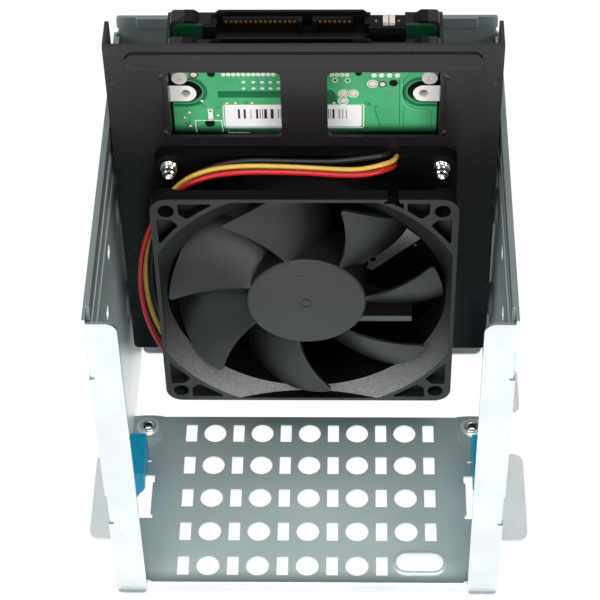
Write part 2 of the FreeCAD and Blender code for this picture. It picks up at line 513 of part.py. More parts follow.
parts["rotor_yoke"] = cyl("y", (0, zc), 15.0, Y(2.2), Y(14.2)).cut(
    [cyl("y", (0, zc), 14.2, Y(3.0), Y(15)), cyl("y", (0, zc), 3.2, Y(2.0), Y(4))])
parts["rotor_magnet"] = cyl("y", (0, zc), 14.2, Y(4.5), Y(14.0)).cut(cyl("y", (0, zc), 12.5, Y(4), Y(15)))
shaft = cyl("y", (0, zc), shaft_r, Y(2.6), Y(18.0))
parts["fan_shaft"] = shaft.cut(cyl("y", (0, zc), 3, Y(17.0), Y(17.5)).cut(cyl("y", (0, zc), 1.15, Y(16), Y(18))))
clip = cyl("y", (0, zc), 2.5, Y(17.0), Y(17.5)).cut([cyl("y", (0, zc), 1.15, Y(16), Y(18))])
parts["shaft_clip"] = clip.cut(box(-0.35, 0.35, Y(16), Y(18), zc, zc + 4))
parts["bearing_sleeve"] = cyl("y", (0, zc), 2.9, Y(6.9), Y(16.6)).cut(cyl("y", (0, zc), sleeve_in_r, Y(6), Y(17)))
core = cyl("y", (0, zc), 6.5, Y(7.0), Y(12.5))
arms = [box(3, 10.8, Y(7.0), Y(12.5), zc - 2, zc + 2)]
shoe = cyl("y", (0, zc), 11.9, Y(7.0), Y(12.5)).cut(cyl("y", (0, zc), 10.3, Y(6), Y(13)))
shoe = shoe.common(prism("xz", [(0, zc), (14, zc - 9.8), (14, zc + 9.8)], Y(6), Y(13)))
pole = union(arms[0], shoe)
poles = [pole.copy() for i in range(4)]
for i, p in enumerate(poles):
    p.rotate(V(0, 0, zc), V(0, 1, 0), 90 * i + 45)
parts["stator_core"] = union(core, *poles).cut(cyl("y", (0, zc), 4.03, Y(6), Y(13)))
coils = []
for i in range(4):
    c = rect("xz", 6.75, 9.15, zc - 4.4, zc + 4.4, Y(5.7), Y(13.8), 0.8).cut(box(6, 11, Y(7.0), Y(12.5), zc - 2, zc + 2))
    c.rotate(V(0, 0, zc), V(0, 1, 0), 90 * i + 45)
    coils.append(c)
parts["stator_coils"] = Part.makeCompound(coils)
parts["fan_circuit_board"] = cyl("y", (0, zc), 14.0, Y(16.0), Y(17.2)).cut(cyl("y", (0, zc), 4.0, Y(15), Y(18)))

parts["fan_screws"] = Part.makeCompound(
    [pan_screw_y((sx * fan_hole, zc + sz * fan_hole), ty1, 3.4, 2.2, 2.1, Y(13.1)) for sx in (-1, 1) for sz in (-1, 1)])

# ---------------------------------------------------------------- drives
def drive(y0):
    yb = Y(y0)
    zt = Z(drive_top)
    zb = zt - drive_l
    w = drive_w / 2
    cast = rect("xz", -w, w, zb, zt, yb + 1.6, yb + 8.7, 1.2)
    cut = [box(-w - 1, w + 1, yb + 6.2, yb + 10, zt - 3.0, zt + 1),            # cover side stops short of the connector end
           box(-24.3, 17.1, yb + 1.0, yb + 6.2, zt - 7.0, zt + 1),              # connector bay
           box(17.1, 26.1, yb + 1.0, yb + 10, zt - 4.0, zt + 1),                # jumper bay
           prism("xz", [(26.0, zt - 1.5), (28.4, zt - 1.5), (30.2, zt), (30.2, zt + 1), (26.0, zt + 1)], yb + 1.0, yb + 10),
           prism("xz", [(-24.2, zt - 1.0), (-27.6, zt - 1.0), (-28.9, zt), (-28.9, zt + 1), (-24.2, zt + 1)], yb + 1.0, yb + 10)]
    lugs, holes = [], []
    for s in (-1, 1):
        for dz in (drive_hole_z1, drive_hole_z2):
            u = sorted((s * 28.1, s * 37.6))
            lug = stadium("xz", u[0], u[1], zt - dz - 2.7, zt - dz + 2.7, yb, yb + 1.6)
            lugs.append(lug.common(box(-w, w, yb - 1, yb + 3, zb, zt)))
            holes.append(cyl("y", (s * drive_hole_x, zt - dz), 1.25, yb - 1, yb + 3.2))
            sh = cyl("x", (yb + 3.0, zt - dz), 1.25, w - 3.5, w + 1)
            holes.append(sh if s > 0 else mirror_x(sh))
    motor = cyl("y", (-2.0, zt - 67.6), 15.0, yb + 0.9, yb + 1.6)
    ridge = rect("xz", -w + 0.6, w - 0.6, zb, zt - 84.6, yb, yb + 1.7, [1.2, 1.2, 2.0, 2.0])
    scr = [(-32.3, 9.0), (32.3, 9.0), (-26.0, 48.6), (26.0, 48.6)]
    for x, dz in scr:
        holes.append(cyl("y", (x, zt - dz), 0.8, yb, yb + 4.0))
    cast = union(cast, motor, ridge, *lugs).cut(cut + holes)
    cover = rect("xz", -w + 1.2, w - 1.2, zb + 1.5, zt - 4.6, yb + 8.7, yb + 9.5, 2.5)
    c_edge = [e for e in cover.Edges if e.BoundBox.YMin > yb + 9.499]
    cover = cover.makeFillet(0.4, c_edge)
    board = rect("xz", -w + 0.5, w - 0.5, zt - 64.0, zt - 0.7, yb + 0.6, yb + 1.6, [0.8, 0.8, 2.4, 2.4])
    # cut round the motor and behind the connector
    b_cut = [cyl("y", (-2.0, zt - 67.6), 17.2, yb, yb + 3), box(-26.4, 26.2, yb, yb + 3, zt - 7.0, zt + 1)]
    for s in (-1, 1):
        u = sorted((s * 26.6, s * 39.4))
        b_cut.append(stadium("xz", u[0], u[1], zt - drive_hole_z1 - 3.8, zt - drive_hole_z1 + 3.8, yb, yb + 3))
    for x, dz in scr:
        b_cut.append(cyl("y", (x, zt - dz), 0.8, yb, yb + 3))
    board = board.cut(b_cut)
    screws = []
    for x, dz in scr:
        hd = cyl("y", (x, zt - dz), 2.0, yb + 0.15, yb + 0.6)
        st = cyl("y", (x, zt - dz), 0.5, yb, yb + 0.4)
        screws.append(union(hd.cut(st), cyl("y", (x, zt - dz), 0.8, yb + 0.5, yb + 3.8)))
    # connector: floor, back wall, end walls, two tongues and a skirt in place of the board's middle
    con = [box(-24.3, 17.1, yb + 1.6, yb + 6.2, zt - 7.0, zt - 5.2),
           prism("xz", [(-24.3, zt - 5.4), (17.1, zt - 5.4), (17.1, zt - 1.6), (15.2, zt), (-22.4, zt), (-24.3, zt - 1.6)], yb + 5.3, yb + 6.2),
           box(-24.3, -22.8, yb + 2.4, yb + 5.5, zt - 5.4, zt - 1.6), box(15.6, 17.1, yb + 2.4, yb + 5.5, zt - 5.4, zt - 1.6),
           box(-21.3, -0.6, yb + 3.4, yb + 4.6, zt - 5.4, zt - 0.8), box(2.0, 12.4, yb + 3.4, yb + 4.6, zt - 5.4, zt - 0.8),
           box(-1.8, -0.6, yb + 2.4, yb + 3.6, zt - 5.4, zt - 0.8), box(2.0, 3.2, yb + 2.4, yb + 3.6, zt - 5.4, zt - 0.8),
           box(17.0, 20.2, yb + 1.6, yb + 5.6, zt - 4.0, zt - 1.4), box(23.5, 26.1, yb + 1.6, yb + 5.6, zt - 4.0, zt - 1.4),
           box(17.0, 26.1, yb + 1.6, yb + 5.6, zt - 4.0, zt - 3.3),
           box(-26.3, 26.1, yb + 0.6, yb + 1.6, zt - 6.9, zt - 4.2),
           box(-26.3, -23.0, yb + 0.6, yb + 1.6, zt - 4.3, zt - 1.1), box(16.6, 26.1, yb + 0.6, yb + 1.6, zt - 4.3, zt - 1.6)]
    con = union(*con)
    pins = []
    for i in range(15):
        x = -20.4 + 1.27 * i
        pins.append(box(x - 0.38, x + 0.38, yb + 3.25, yb + 3.4, zt - 5.2, zt - 1.3))
    for i in range(7):
        x = 4.0 + 1.27 * i
        pins.append(box(x - 0.38, x + 0.38, yb + 3.25, yb + 3.4, zt - 5.2, zt - 1.3))
    jump = [box(x - 0.25, x + 0.25, yb + 2.6, yb + 3.1, zt - 1.4, zt - 0.9) for x in (18.5, 24.4)]
    return cast, cover, board, screws, con, pins + jump


for name, dy in (("front_drive", drive_y[0]), ("rear_drive", drive_y[1])):
    cast, cover, board, screws, con, pins = drive(dy)
    parts[name + "_casting"] = cast
    parts[name + "_cover"] = cover
    parts[name + "_board"] = board
    parts[name + "_board_screws"] = Part.makeCompound(screws)
    parts[name + "_connector"] = con
    parts[name + "_contacts"] = Part.makeCompound(pins)
parts["front_drive_label"] = rect("xz", -21.0, 14.8, Z(41.8), Z(49.5), Y(drive_y[0] + 0.5), Y(drive_y[0] + 0.6), 0.6)

parts["drive_screws"] = Part.makeCompound(
    [pan_screw_x(s, (Y(dy + 3.0), Z(drive_top - dz)), tab_in + tray_t, 2.6, 1.5, 1.25, 31.6)
     for s in (-1, 1) for dy in drive_y for dz in (drive_hole_z1, drive_hole_z2)])

# ---------------------------------------------------------------- fan lead
# three insulated wires: out of the slot in the rear flange, across the top of the duct,
# round the upper left corner, down the left side, then under the tray to the plug on the floor
plug_x, plug_y, plug_z = 9.0, 31.0, -66.0
plug_l, plug_w, plug_h = 14.0, 7.7, 5.9
pin_pitch = 2.54
wz = plug_z + plug_h / 2
routes = {
    "fan_wire_yellow": [
        (24.1, 19.3, 36.9), (23.65, 17.8, 37.35), (22.7, 16.3, 37.9), (21.0, 14.8, 38.5), (18.2, 13.5, 38.7), (14.2, 12.5, 38.6), (9.0, 11.9, 39.2),
        (2.0, 11.6, 40.1), (-6.0, 11.9, 40.35), (-17.0, 12.2, 40.3), (-25.5, 12.2, 38.8), (-32.0, 12.2, 35.0), (-37.0, 12.0, 28.5), (-41.0, 11.5, 19.0),
        (-43.6, 11.2, 8.5), (-44.4, 11.0, -3.0), (-43.6, 10.8, -14.0), (-40.9, 10.6, -24.0), (-36.9, 10.7, -33.2), (-32.0, 12.9, -41.2),
        (-26.3, 17.0, -48.0), (-20.0, 21.6, -53.6), (-13.0, 25.8, -58.2), (-6.0, 28.8, -61.4), (0.0, 30.5, -62.9), (4.8, plug_y, wz), (plug_x, plug_y, wz)],
    "fan_wire_red": [
        (23.8, 19.3, 34.7), (23.55, 17.7, 35.2), (23.0, 16.2, 36.0), (22.2, 14.7, 37.0), (20.9, 13.2, 37.8), (18.8, 11.8, 38.3), (15.2, 10.6, 38.5), (10.0, 9.95, 39.0),
        (2.6, 9.6, 40.15), (-6.0, 9.8, 40.35), (-17.0, 10.0, 40.2), (-25.5, 10.1, 38.5), (-32.6, 10.2, 34.2), (-38.2, 10.1, 27.2), (-42.3, 9.9, 18.0),
        (-44.9, 9.6, 7.5), (-45.8, 9.4, -4.0), (-45.0, 9.2, -15.0), (-42.3, 9.0, -25.2), (-38.2, 9.2, -34.8), (-33.0, 11.2, -43.0),
        (-27.0, 14.9, -49.8), (-20.5, 19.3, -55.2), (-13.4, 23.4, -59.6), (-6.2, 26.4, -62.6), (-0.2, 28.0, -63.6), (4.8, plug_y - pin_pitch, wz), (plug_x, plug_y - pin_pitch, wz)],
    "fan_wire_black": [
        (22.1, 19.3, 38.9), (21.8, 17.8, 39.6), (21.0, 16.4, 40.4), (19.5, 15.3, 40.9), (16.8, 14.7, 40.8), (12.4, 14.3, 40.4), (6.6, 13.9, 40.1),
        (-5.0, 13.9, 40.45), (-16.0, 14.0, 40.5), (-24.2, 14.0, 38.6), (-30.4, 14.0, 34.6), (-35.3, 13.8, 28.2), (-39.3, 13.4, 19.0),
        (-41.9, 13.1, 8.5), (-42.8, 12.9, -3.0), (-42.1, 12.7, -13.6), (-39.2, 12.4, -23.0), (-34.6, 12.5, -31.6), (-29.6, 14.6, -39.6),
        (-24.4, 18.6, -46.2), (-18.4, 23.2, -51.8), (-11.8, 27.6, -56.4), (-5.0, 30.9, -59.8), (0.6, 32.8, -61.8), (5.0, plug_y + pin_pitch, wz), (plug_x, plug_y + pin_pitch, wz)],
}


def tube_along(name, pts):
    P = [V(p[0], Y(p[1]), Z(p[2])) for p in pts]
    n = len(P)
    edges, length, radii = [], 0.0, []
    here = P[0]
    for i in range(1, n - 1):
        a, b = P[i - 1] - P[i], P[i + 1] - P[i]
        run = min(a.Length, b.Length)
        ang = math.pi - a.getAngle(b)          # turn at this point
        t = 0.45 * run
        r = t / math.tan(ang / 2)
        radii.append(r)
        a.normalize()
        b.normalize()
        s, e = P[i] + a * t, P[i] + b * t
        bis = a + b
        bis.normalize()
        d = r / math.cos(ang / 2)
        m = P[i] + bis * (d - r)
        edges.append(Part.LineSegment(here, s).toShape())
        edges.append(Part.Arc(s, m, e).toShape())
        here = e
    edges.append(Part.LineSegment(here, P[-1]).toShape())
    path = Part.Wire(edges)
    d0 = P[1] - P[0]
    prof = Part.Wire([Part.Circle(P[0], d0, wire_d / 2).toShape()])
    tube = path.makePipeShell([prof], True, False)
    want = math.pi * wire_d ** 2 / 4 * path.Length
    print("%s length %.1f mm, volume ratio %.4f, smallest radius %.1f mm" % (name, path.Length, tube.Volume / want, min(radii)))
    print("   radii:", " ".join("%.1f" % r for r in radii))
    return tube


for name, pts in routes.items():
    parts[name] = tube_along(name, pts)

px0, px1 = plug_x, plug_x + plug_l
pz0, pz1 = Z(plug_z), Z(plug_z + plug_h)
pw = plug_w / 2
plug = rect("yz", Y(plug_y) - pw, Y(plug_y) + pw, pz0, pz1, px0, px1, 0.4)
ribs = [box(px0 + 3.0, px1, Y(plug_y) + s * 2.0 - 0.6, Y(plug_y) + s * 2.0 + 0.6, pz1 - 0.3, pz1 + 0.8) for s in (-1, 1)]
plug = union(plug, *ribs)
p_cut = []
for i in (-1, 0, 1):
    yy = Y(plug_y + i * pin_pitch)
    p_cut.append(box(px1 - 8.0, px1 + 1, yy - 0.6, yy + 0.6, Z(wz) - 0.6, Z(wz) + 0.6))
    p_cut.append(box(px0 + 3.0, px0 + 6.5, yy - 0.7, yy + 0.7, pz0 - 1, pz0 + 1.2))
parts["fan_plug"] = plug.cut(p_cut)

# ---------------------------------------------------------------- write every piece
bb_all = None
for name in sorted(parts):
    s = parts[name]
    ok = s.isValid()
    vol = s.Volume
    print("%-28s solids %2d valid %s volume %9.1f" % (name, len(s.Solids), ok, vol))
    s.exportStep("parts/%s.step" % name)
    b = s.BoundBox
    if bb_all is None:
        bb_all = FreeCAD.BoundBox(b)
    else:
        bb_all.add(b)
print("box X %.2f..%.2f Y %.2f..%.2f Z %.2f..%.2f" % (bb_all.XMin, bb_all.XMax, bb_all.YMin, bb_all.YMax, bb_all.ZMin, bb_all.ZMax))
print(len(parts), "nodes")
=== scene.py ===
import json
import math
import random

import bpy
from mathutils import Matrix, Vector


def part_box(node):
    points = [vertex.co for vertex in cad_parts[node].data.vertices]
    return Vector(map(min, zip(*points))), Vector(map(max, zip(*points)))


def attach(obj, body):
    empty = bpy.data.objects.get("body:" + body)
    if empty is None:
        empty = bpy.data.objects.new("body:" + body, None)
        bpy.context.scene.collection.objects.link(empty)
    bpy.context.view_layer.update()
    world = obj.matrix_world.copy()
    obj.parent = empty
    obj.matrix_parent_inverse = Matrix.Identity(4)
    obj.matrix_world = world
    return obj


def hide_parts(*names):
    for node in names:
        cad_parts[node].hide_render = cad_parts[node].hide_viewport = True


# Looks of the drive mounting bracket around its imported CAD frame.
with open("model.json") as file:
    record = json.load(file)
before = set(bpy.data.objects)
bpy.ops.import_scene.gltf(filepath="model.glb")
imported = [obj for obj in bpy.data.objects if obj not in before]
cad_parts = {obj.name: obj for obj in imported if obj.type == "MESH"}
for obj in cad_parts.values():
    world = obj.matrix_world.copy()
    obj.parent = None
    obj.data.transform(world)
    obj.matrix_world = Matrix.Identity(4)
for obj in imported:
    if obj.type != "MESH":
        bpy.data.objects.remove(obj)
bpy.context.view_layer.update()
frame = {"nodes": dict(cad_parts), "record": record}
nodes = frame["nodes"]
scene = bpy.context.scene
rng = random.Random(11)

MM = 0.001
FAN_Y, FAN_Z = -4.85, 66.0       # the fan's front centre in the row frame, mm


def P(x, y, z):
    # a point given in mm from the fan's front centre
    return Vector((x * MM, (y + FAN_Y) * MM, (z + FAN_Z) * MM))


# ------------------------------------------------------------------ camera
cam_data = bpy.data.cameras.new("main_camera")
cam_data.sensor_width = 36.0
cam_data.lens = 131.12
cam_data.clip_start = 0.01
cam_data.clip_end = 20.0
cam = bpy.data.objects.new("main_camera", cam_data)
scene.collection.objects.link(cam)
cr = Vector((0.99969, 0.01805, -0.01736)).normalized()
cu = Vector((-0.00157, 0.73694, 0.67596)).normalized()
cw = cu.cross(cr)
cc = Vector((0.01306, -0.40223, 0.50127))
cam.matrix_world = Matrix(((cr.x, cu.x, -cw.x, cc.x), (cr.y, cu.y, -cw.y, cc.y), (cr.z, cu.z, -cw.z, cc.z), (0, 0, 0, 1)))
scene.camera = cam


# ------------------------------------------------------------------ materials
class Mat:
    """A principled material built up from procedural nodes on object coordinates."""

    def __init__(self, name):
        self.m = bpy.data.materials.new(name)
        self.m.use_nodes = True
        self.t = self.m.node_tree
        self.t.nodes.clear()
        out = self.t.nodes.new("ShaderNodeOutputMaterial")
        self.b = self.t.nodes.new("ShaderNodeBsdfPrincipled")
        self.t.links.new(self.b.outputs["BSDF"], out.inputs["Surface"])
        self.co = self.t.nodes.new("ShaderNodeTexCoord").outputs["Object"]

    def link(self, a, b):
        self.t.links.new(a, b)

    def noise(self, scale, detail=4.0, rough=0.55, stretch=(1, 1, 1), distortion=0.0):
        mp = self.t.nodes.new("ShaderNodeMapping")
        mp.inputs["Scale"].default_value = stretch
        self.link(self.co, mp.inputs["Vector"])
        n = self.t.nodes.new("ShaderNodeTexNoise")
        n.inputs["Scale"].default_value = scale
        n.inputs["Detail"].default_value = detail
        n.inputs["Roughness"].default_value = rough
        n.inputs["Distortion"].default_value = distortion
        self.link(mp.outputs["Vector"], n.inputs["Vector"])
        return n.outputs["Fac"]

    def spread(self, fac, lo, hi, f0=0.3, f1=0.7):
        r = self.t.nodes.new("ShaderNodeMapRange")
        r.inputs["From Min"].default_value = f0
        r.inputs["From Max"].default_value = f1
        r.inputs["To Min"].default_value = lo
        r.inputs["To Max"].default_value = hi
        self.link(fac, r.inputs["Value"])
        return r.outputs["Result"]

    def blend(self, fac, a, b):
        x = self.t.nodes.new("ShaderNodeMix")
        x.data_type = "RGBA"
        self.link(fac, x.inputs[0])
        for k, v in ((6, a), (7, b)):
            if isinstance(v, (tuple, list)):
                x.inputs[k].default_value = (v[0], v[1], v[2], 1.0)
            else:
                self.link(v, x.inputs[k])
        return x.outputs[2]

    def bump(self, height, strength, distance, normal=None):
        n = self.t.nodes.new("ShaderNodeBump")
        n.inputs["Strength"].default_value = strength
        n.inputs["Distance"].default_value = distance
        self.link(height, n.inputs["Height"])
        if normal is not None:
            self.link(normal, n.inputs["Normal"])
        return n.outputs["Normal"]


def finish_of(name, color, rough, metal=0.0, mottle=(90.0, 0.06), grain=(2200.0, 0.05), rough_var=0.06,
              bump=(2600.0, 0.12, 0.00004), spec=0.5, stretch=(1, 1, 1), coat=0.0, tint=None):
    k = Mat(name)
    m0 = k.noise(mottle[0], 3.0)
    g0 = k.noise(grain[0], 5.0, 0.6, stretch)
    dark = tuple(c * (1 - mottle[1]) for c in color)
    light = tuple(min(1.0, c * (1 + mottle[1])) for c in (tint or color))
    base = k.blend(k.spread(m0, 0.0, 1.0), dark, light)
    darker = tuple(c * (1 - grain[1] * 2) for c in color)
    base = k.blend(k.spread(g0, 0.55 * grain[1] * 4, 0.0, 0.25, 0.6), base, darker)
    k.link(base, k.b.inputs["Base Color"])
    k.link(k.spread(g0, max(0.02, rough - rough_var), rough + rough_var), k.b.inputs["Roughness"])
    k.b.inputs["Metallic"].default_value = metal
    k.b.inputs["Specular IOR Level"].default_value = spec
    k.b.inputs["Coat Weight"].default_value = coat
    k.b.inputs["Coat Roughness"].default_value = 0.12
    if bump:
        h = k.noise(bump[0], 4.0, 0.6, stretch)
        k.link(k.bump(h, bump[1], bump[2]), k.b.inputs["Normal"])
    return k.m


mats = {}
mats["zinc_steel"] = finish_of("zinc_steel", (0.785, 0.832, 0.838), 0.38, 0.62, (70.0, 0.05), (1900.0, 0.06), 0.05,
                               (1800.0, 0.06, 0.00002), stretch=(1.0, 1.0, 0.25))
mats["nickel"] = finish_of("nickel", (0.86, 0.86, 0.85), 0.16, 1.0, (300.0, 0.05), (3000.0, 0.04), 0.05, (3000.0, 0.06, 0.00002))
mats["blue_plastic"] = finish_of("blue_plastic", (0.004, 0.235, 0.385), 0.36, 0.0, (200.0, 0.06), (3000.0, 0.05), 0.06,
                                 (3500.0, 0.10, 0.00003), spec=0.22, tint=(0.006, 0.27, 0.44))
mats["charcoal_plastic"] = finish_of("charcoal_plastic", (0.0105, 0.011, 0.011), 0.40, 0.0, (80.0, 0.10), (3000.0, 0.44), 0.10,
                                     (2400.0, 0.90, 0.00012), spec=0.55)
# lighter copy of the fan's charcoal for the hub's front face: painted light
mats["charcoal_hub_painted_light"] = finish_of("charcoal_hub_painted_light", (0.027, 0.0278, 0.0275), 0.42, 0.0, (80.0, 0.06), (3000.0, 0.20), 0.08,
                                 (2600.0, 0.45, 0.00008), spec=0.50)
mats["dark_steel"] = finish_of("dark_steel", (0.34, 0.34, 0.35), 0.3, 1.0)
mats["ferrite"] = finish_of("ferrite", (0.06, 0.055, 0.055), 0.6)
mats["bronze"] = finish_of("bronze", (0.55, 0.38, 0.2), 0.4, 1.0)
mats["lamination"] = finish_of("lamination", (0.4, 0.4, 0.42), 0.4, 1.0, stretch=(0.1, 4.0, 0.1))
mats["copper_wire"] = finish_of("copper_wire", (0.72, 0.33, 0.16), 0.32, 1.0, stretch=(0.3, 3.0, 0.3))
mats["black_wire"] = finish_of("black_wire", (0.004, 0.004, 0.0045), 0.42, 0.0, (300.0, 0.10), (2500.0, 0.06), 0.05, (1500.0, 0.05, 0.00002))
mats["yellow_wire"] = finish_of("yellow_wire", (0.64, 0.39, 0.066), 0.32, 0.0, (300.0, 0.05), (2500.0, 0.03), 0.05, (1500.0, 0.05, 0.00002))
mats["red_wire"] = finish_of("red_wire", (0.52, 0.012, 0.018), 0.30, 0.0, (300.0, 0.08), (2500.0, 0.05), 0.05, (1500.0, 0.05, 0.00002))
mats["plug_plastic"] = finish_of("plug_plastic", (0.02, 0.02, 0.021), 0.42)
mats["casting"] = finish_of("casting", (0.006, 0.006, 0.0065), 0.42, 0.0, (400.0, 0.12), (3200.0, 0.08), 0.08, (3000.0, 0.25, 0.00004), spec=0.3)
mats["drive_cover"] = finish_of("drive_cover", (0.60, 0.61, 0.62), 0.32, 1.0, stretch=(0.05, 1.0, 2.0))
mats["connector_plastic"] = finish_of("connector_plastic", (0.004, 0.004, 0.004), 0.40, 0.0, (200.0, 0.1), (3000.0, 0.08), spec=0.2)
mats["gold"] = finish_of("gold", (0.60, 0.30, 0.10), 0.30, 1.0)
mats["label_paper"] = finish_of("label_paper", (0.88, 0.88, 0.87), 0.6, 0.0, (200.0, 0.02), (4000.0, 0.02), 0.05, (3000.0, 0.1, 0.00002))
# extra looks of small details
mats["tin"] = finish_of("tin", (0.93, 0.92, 0.88), 0.34, 0.25, (500.0, 0.05), (3000.0, 0.05))
mats["pad_gold"] = finish_of("pad_gold", (0.93, 0.82, 0.70), 0.34, 0.2, (500.0, 0.06), (3000.0, 0.05))
mats["trace_dark"] = finish_of("trace_dark", (0.010, 0.16, 0.065), 0.36, 0.0, (160.0, 0.12), (1400.0, 0.06))
mats["trace_light"] = finish_of("trace_light", (0.14, 0.56, 0.30), 0.34, 0.0, (160.0, 0.08), (1400.0, 0.05))
mats["mark_white"] = finish_of("mark_white", (0.86, 0.93, 0.87), 0.55, 0.0, (300.0, 0.04), (3000.0, 0.04))
# near black for the inside of holes: painted shade
mats["hole_painted_shade"] = finish_of("hole_painted_shade", (0.006, 0.005, 0.004), 0.7, 0.0, (400.0, 0.2), (3000.0, 0.1), spec=0.2)
mats["ring_brown"] = finish_of("ring_brown", (0.09, 0.045, 0.02), 0.5, 0.0, (400.0, 0.1), (3000.0, 0.1))
mats["bar_ink"] = finish_of("bar_ink", (0.012, 0.012, 0.013), 0.55, 0.0, (400.0, 0.1), (3000.0, 0.1))
mats["bar_pale"] = finish_of("bar_pale", (0.42, 0.42, 0.42), 0.55, 0.0, (400.0, 0.06), (3000.0, 0.06))
# near-white bare metal for the drives' lug faces and the land: partly their own bare metal, partly painted highlight
mats["land_painted_highlight"] = finish_of("land_painted_highlight", (0.97, 0.95, 0.91), 0.40, 0.10, (300.0, 0.04), (900.0, 0.08), 0.08, (900.0, 0.12, 0.00003),
                                stretch=(3.0, 1.0, 0.4))
mats["cream_plastic"] = finish_of("cream_plastic", (0.78, 0.72, 0.66), 0.45, 0.0, (300.0, 0.05), (3000.0, 0.05))
mats["bare_metal"] = finish_of("bare_metal", (0.88, 0.88, 0.88), 0.36, 0.55, (300.0, 0.08), (900.0, 0.10), 0.08, (900.0, 0.12, 0.00003),
                               stretch=(3.0, 1.0, 0.4))
mats["screw_bright"] = finish_of("screw_bright", (0.86, 0.83, 0.79), 0.34, 0.25, (500.0, 0.08), (2500.0, 0.10), 0.06, (1500.0, 0.10, 0.00003))
mats["casting_edge"] = finish_of("casting_edge", (0.022, 0.023, 0.024), 0.42, 0.2, (400.0, 0.12), (3200.0, 0.08), 0.08, (3000.0, 0.25, 0.00004))


def board_painted_shade(name, low, high):
    # green solder mask, darker towards the board's lower half: painted shade (heights in m)
    k = Mat(name)
    m0 = k.noise(160.0, 3.0)
    g0 = k.noise(1400.0, 5.0, 0.6)
    green = k.blend(k.spread(m0, 0.0, 1.0), (0.068, 0.385, 0.160), (0.092, 0.45, 0.198))
    green = k.blend(k.spread(g0, 0.10, 0.0, 0.25, 0.6), green, (0.04, 0.30, 0.12))
    sep = k.t.nodes.new("ShaderNodeSeparateXYZ")
    k.link(k.co, sep.inputs["Vector"])
    k.link(k.blend(k.spread(sep.outputs["Z"], 0.0, 1.0, low, high), (0.0015, 0.012, 0.005), green), k.b.inputs["Base Color"])
    k.link(k.spread(g0, 0.30, 0.42), k.b.inputs["Roughness"])
    k.b.inputs["Specular IOR Level"].default_value = 0.35
    h = k.noise(900.0, 4.0, 0.6)
    k.link(k.bump(h, 0.10, 0.00003), k.b.inputs["Normal"])
    return k.m


def paint_painted_sheen(name, low, high):
    # black powder coat, paler towards the top edge: painted reflection (heights in m)
    k = Mat(name)
    m0 = k.noise(60.0, 3.0)
    g0 = k.noise(3000.0, 5.0, 0.6)
    sep = k.t.nodes.new("ShaderNodeSeparateXYZ")
    k.link(k.co, sep.inputs["Vector"])
    black = k.blend(k.spread(m0, 0.0, 1.0), (0.0012, 0.0012, 0.0012), (0.0018, 0.0018, 0.0018))
    # painted reflection: the paler tone taken towards the top
    painted_sheen = k.blend(k.spread(g0, 0.0, 1.0), (0.026, 0.026, 0.0255), (0.034, 0.034, 0.0335))
    k.link(k.blend(k.spread(sep.outputs["Z"], 0.0, 1.0, low, high), black, painted_sheen), k.b.inputs["Base Color"])
    k.link(k.spread(g0, 0.22, 0.30), k.b.inputs["Roughness"])
    k.b.inputs["Specular IOR Level"].default_value = 0.20
    h = k.noise(4200.0, 4.0, 0.6)
    k.link(k.bump(h, 0.12, 0.00003), k.b.inputs["Normal"])
    return k.m


def mouth_painted_highlight(name, low, high):
    # grained lip of the fan's mouth, paler towards its lower edge: painted highlight (heights in m)
    k = Mat(name)
    g0 = k.noise(4000.0, 3.0, 0.7)
    m0 = k.noise(120.0, 3.0)
    sep = k.t.nodes.new("ShaderNodeSeparateXYZ")
    k.link(k.co, sep.inputs["Vector"])
    fade = k.spread(sep.outputs["Z"], 1.0, 0.0, low, high)
    pw = k.t.nodes.new("ShaderNodeMath")
    pw.operation = "POWER"
    k.link(fade, pw.inputs[0])
    pw.inputs[1].default_value = 2.2
    # painted highlight: pale grained tone towards the lower edge
    pale = k.blend(k.spread(g0, 0.0, 1.0, 0.35, 0.65), (0.10, 0.10, 0.10), (0.34, 0.34, 0.34))
    black = k.blend(k.spread(m0, 0.0, 1.0), (0.0065, 0.0067, 0.0067), (0.0085, 0.0087, 0.0087))
    k.link(k.blend(pw.outputs["Value"], black, pale), k.b.inputs["Base Color"])
    k.link(k.spread(g0, 0.34, 0.52), k.b.inputs["Roughness"])
    k.b.inputs["Specular IOR Level"].default_value = 0.12
    k.link(k.bump(g0, 0.60, 0.00010), k.b.inputs["Normal"])
    return k.m


def wall_painted_shade(name, low, high):
    # zinc-plated sheet with painted shade: darker over its upper part, paler low down as a painted reflection of the
    # floor (heights in m)
    k = Mat(name)
    g0 = k.noise(1900.0, 5.0, 0.6, (1.0, 1.0, 0.25))
    m0 = k.noise(70.0, 3.0)
    sep = k.t.nodes.new("ShaderNodeSeparateXYZ")
    k.link(k.co, sep.inputs["Vector"])
    pale = k.blend(k.spread(m0, 0.0, 1.0), (0.84, 0.89, 0.895), (0.88, 0.93, 0.935))
    grey = k.blend(k.spread(m0, 0.0, 1.0), (0.56, 0.69, 0.70), (0.60, 0.73, 0.74))
    # painted shade: the dark tone taken over the upper part
    painted_shade_tone = k.blend(k.spread(m0, 0.0, 1.0), (0.13, 0.160, 0.165), (0.16, 0.195, 0.20))
    tone = k.blend(k.spread(sep.outputs["Z"], 0.0, 1.0, low - 0.052, low - 0.020), pale, grey)
    k.link(k.blend(k.spread(sep.outputs["Z"], 0.0, 1.0, low, high), tone, painted_shade_tone), k.b.inputs["Base Color"])
    k.link(k.spread(g0, 0.33, 0.43), k.b.inputs["Roughness"])
    k.b.inputs["Metallic"].default_value = 0.62
    h = k.noise(1800.0, 4.0, 0.6, (1.0, 1.0, 0.25))
    k.link(k.bump(h, 0.06, 0.00002), k.b.inputs["Normal"])
    return k.m


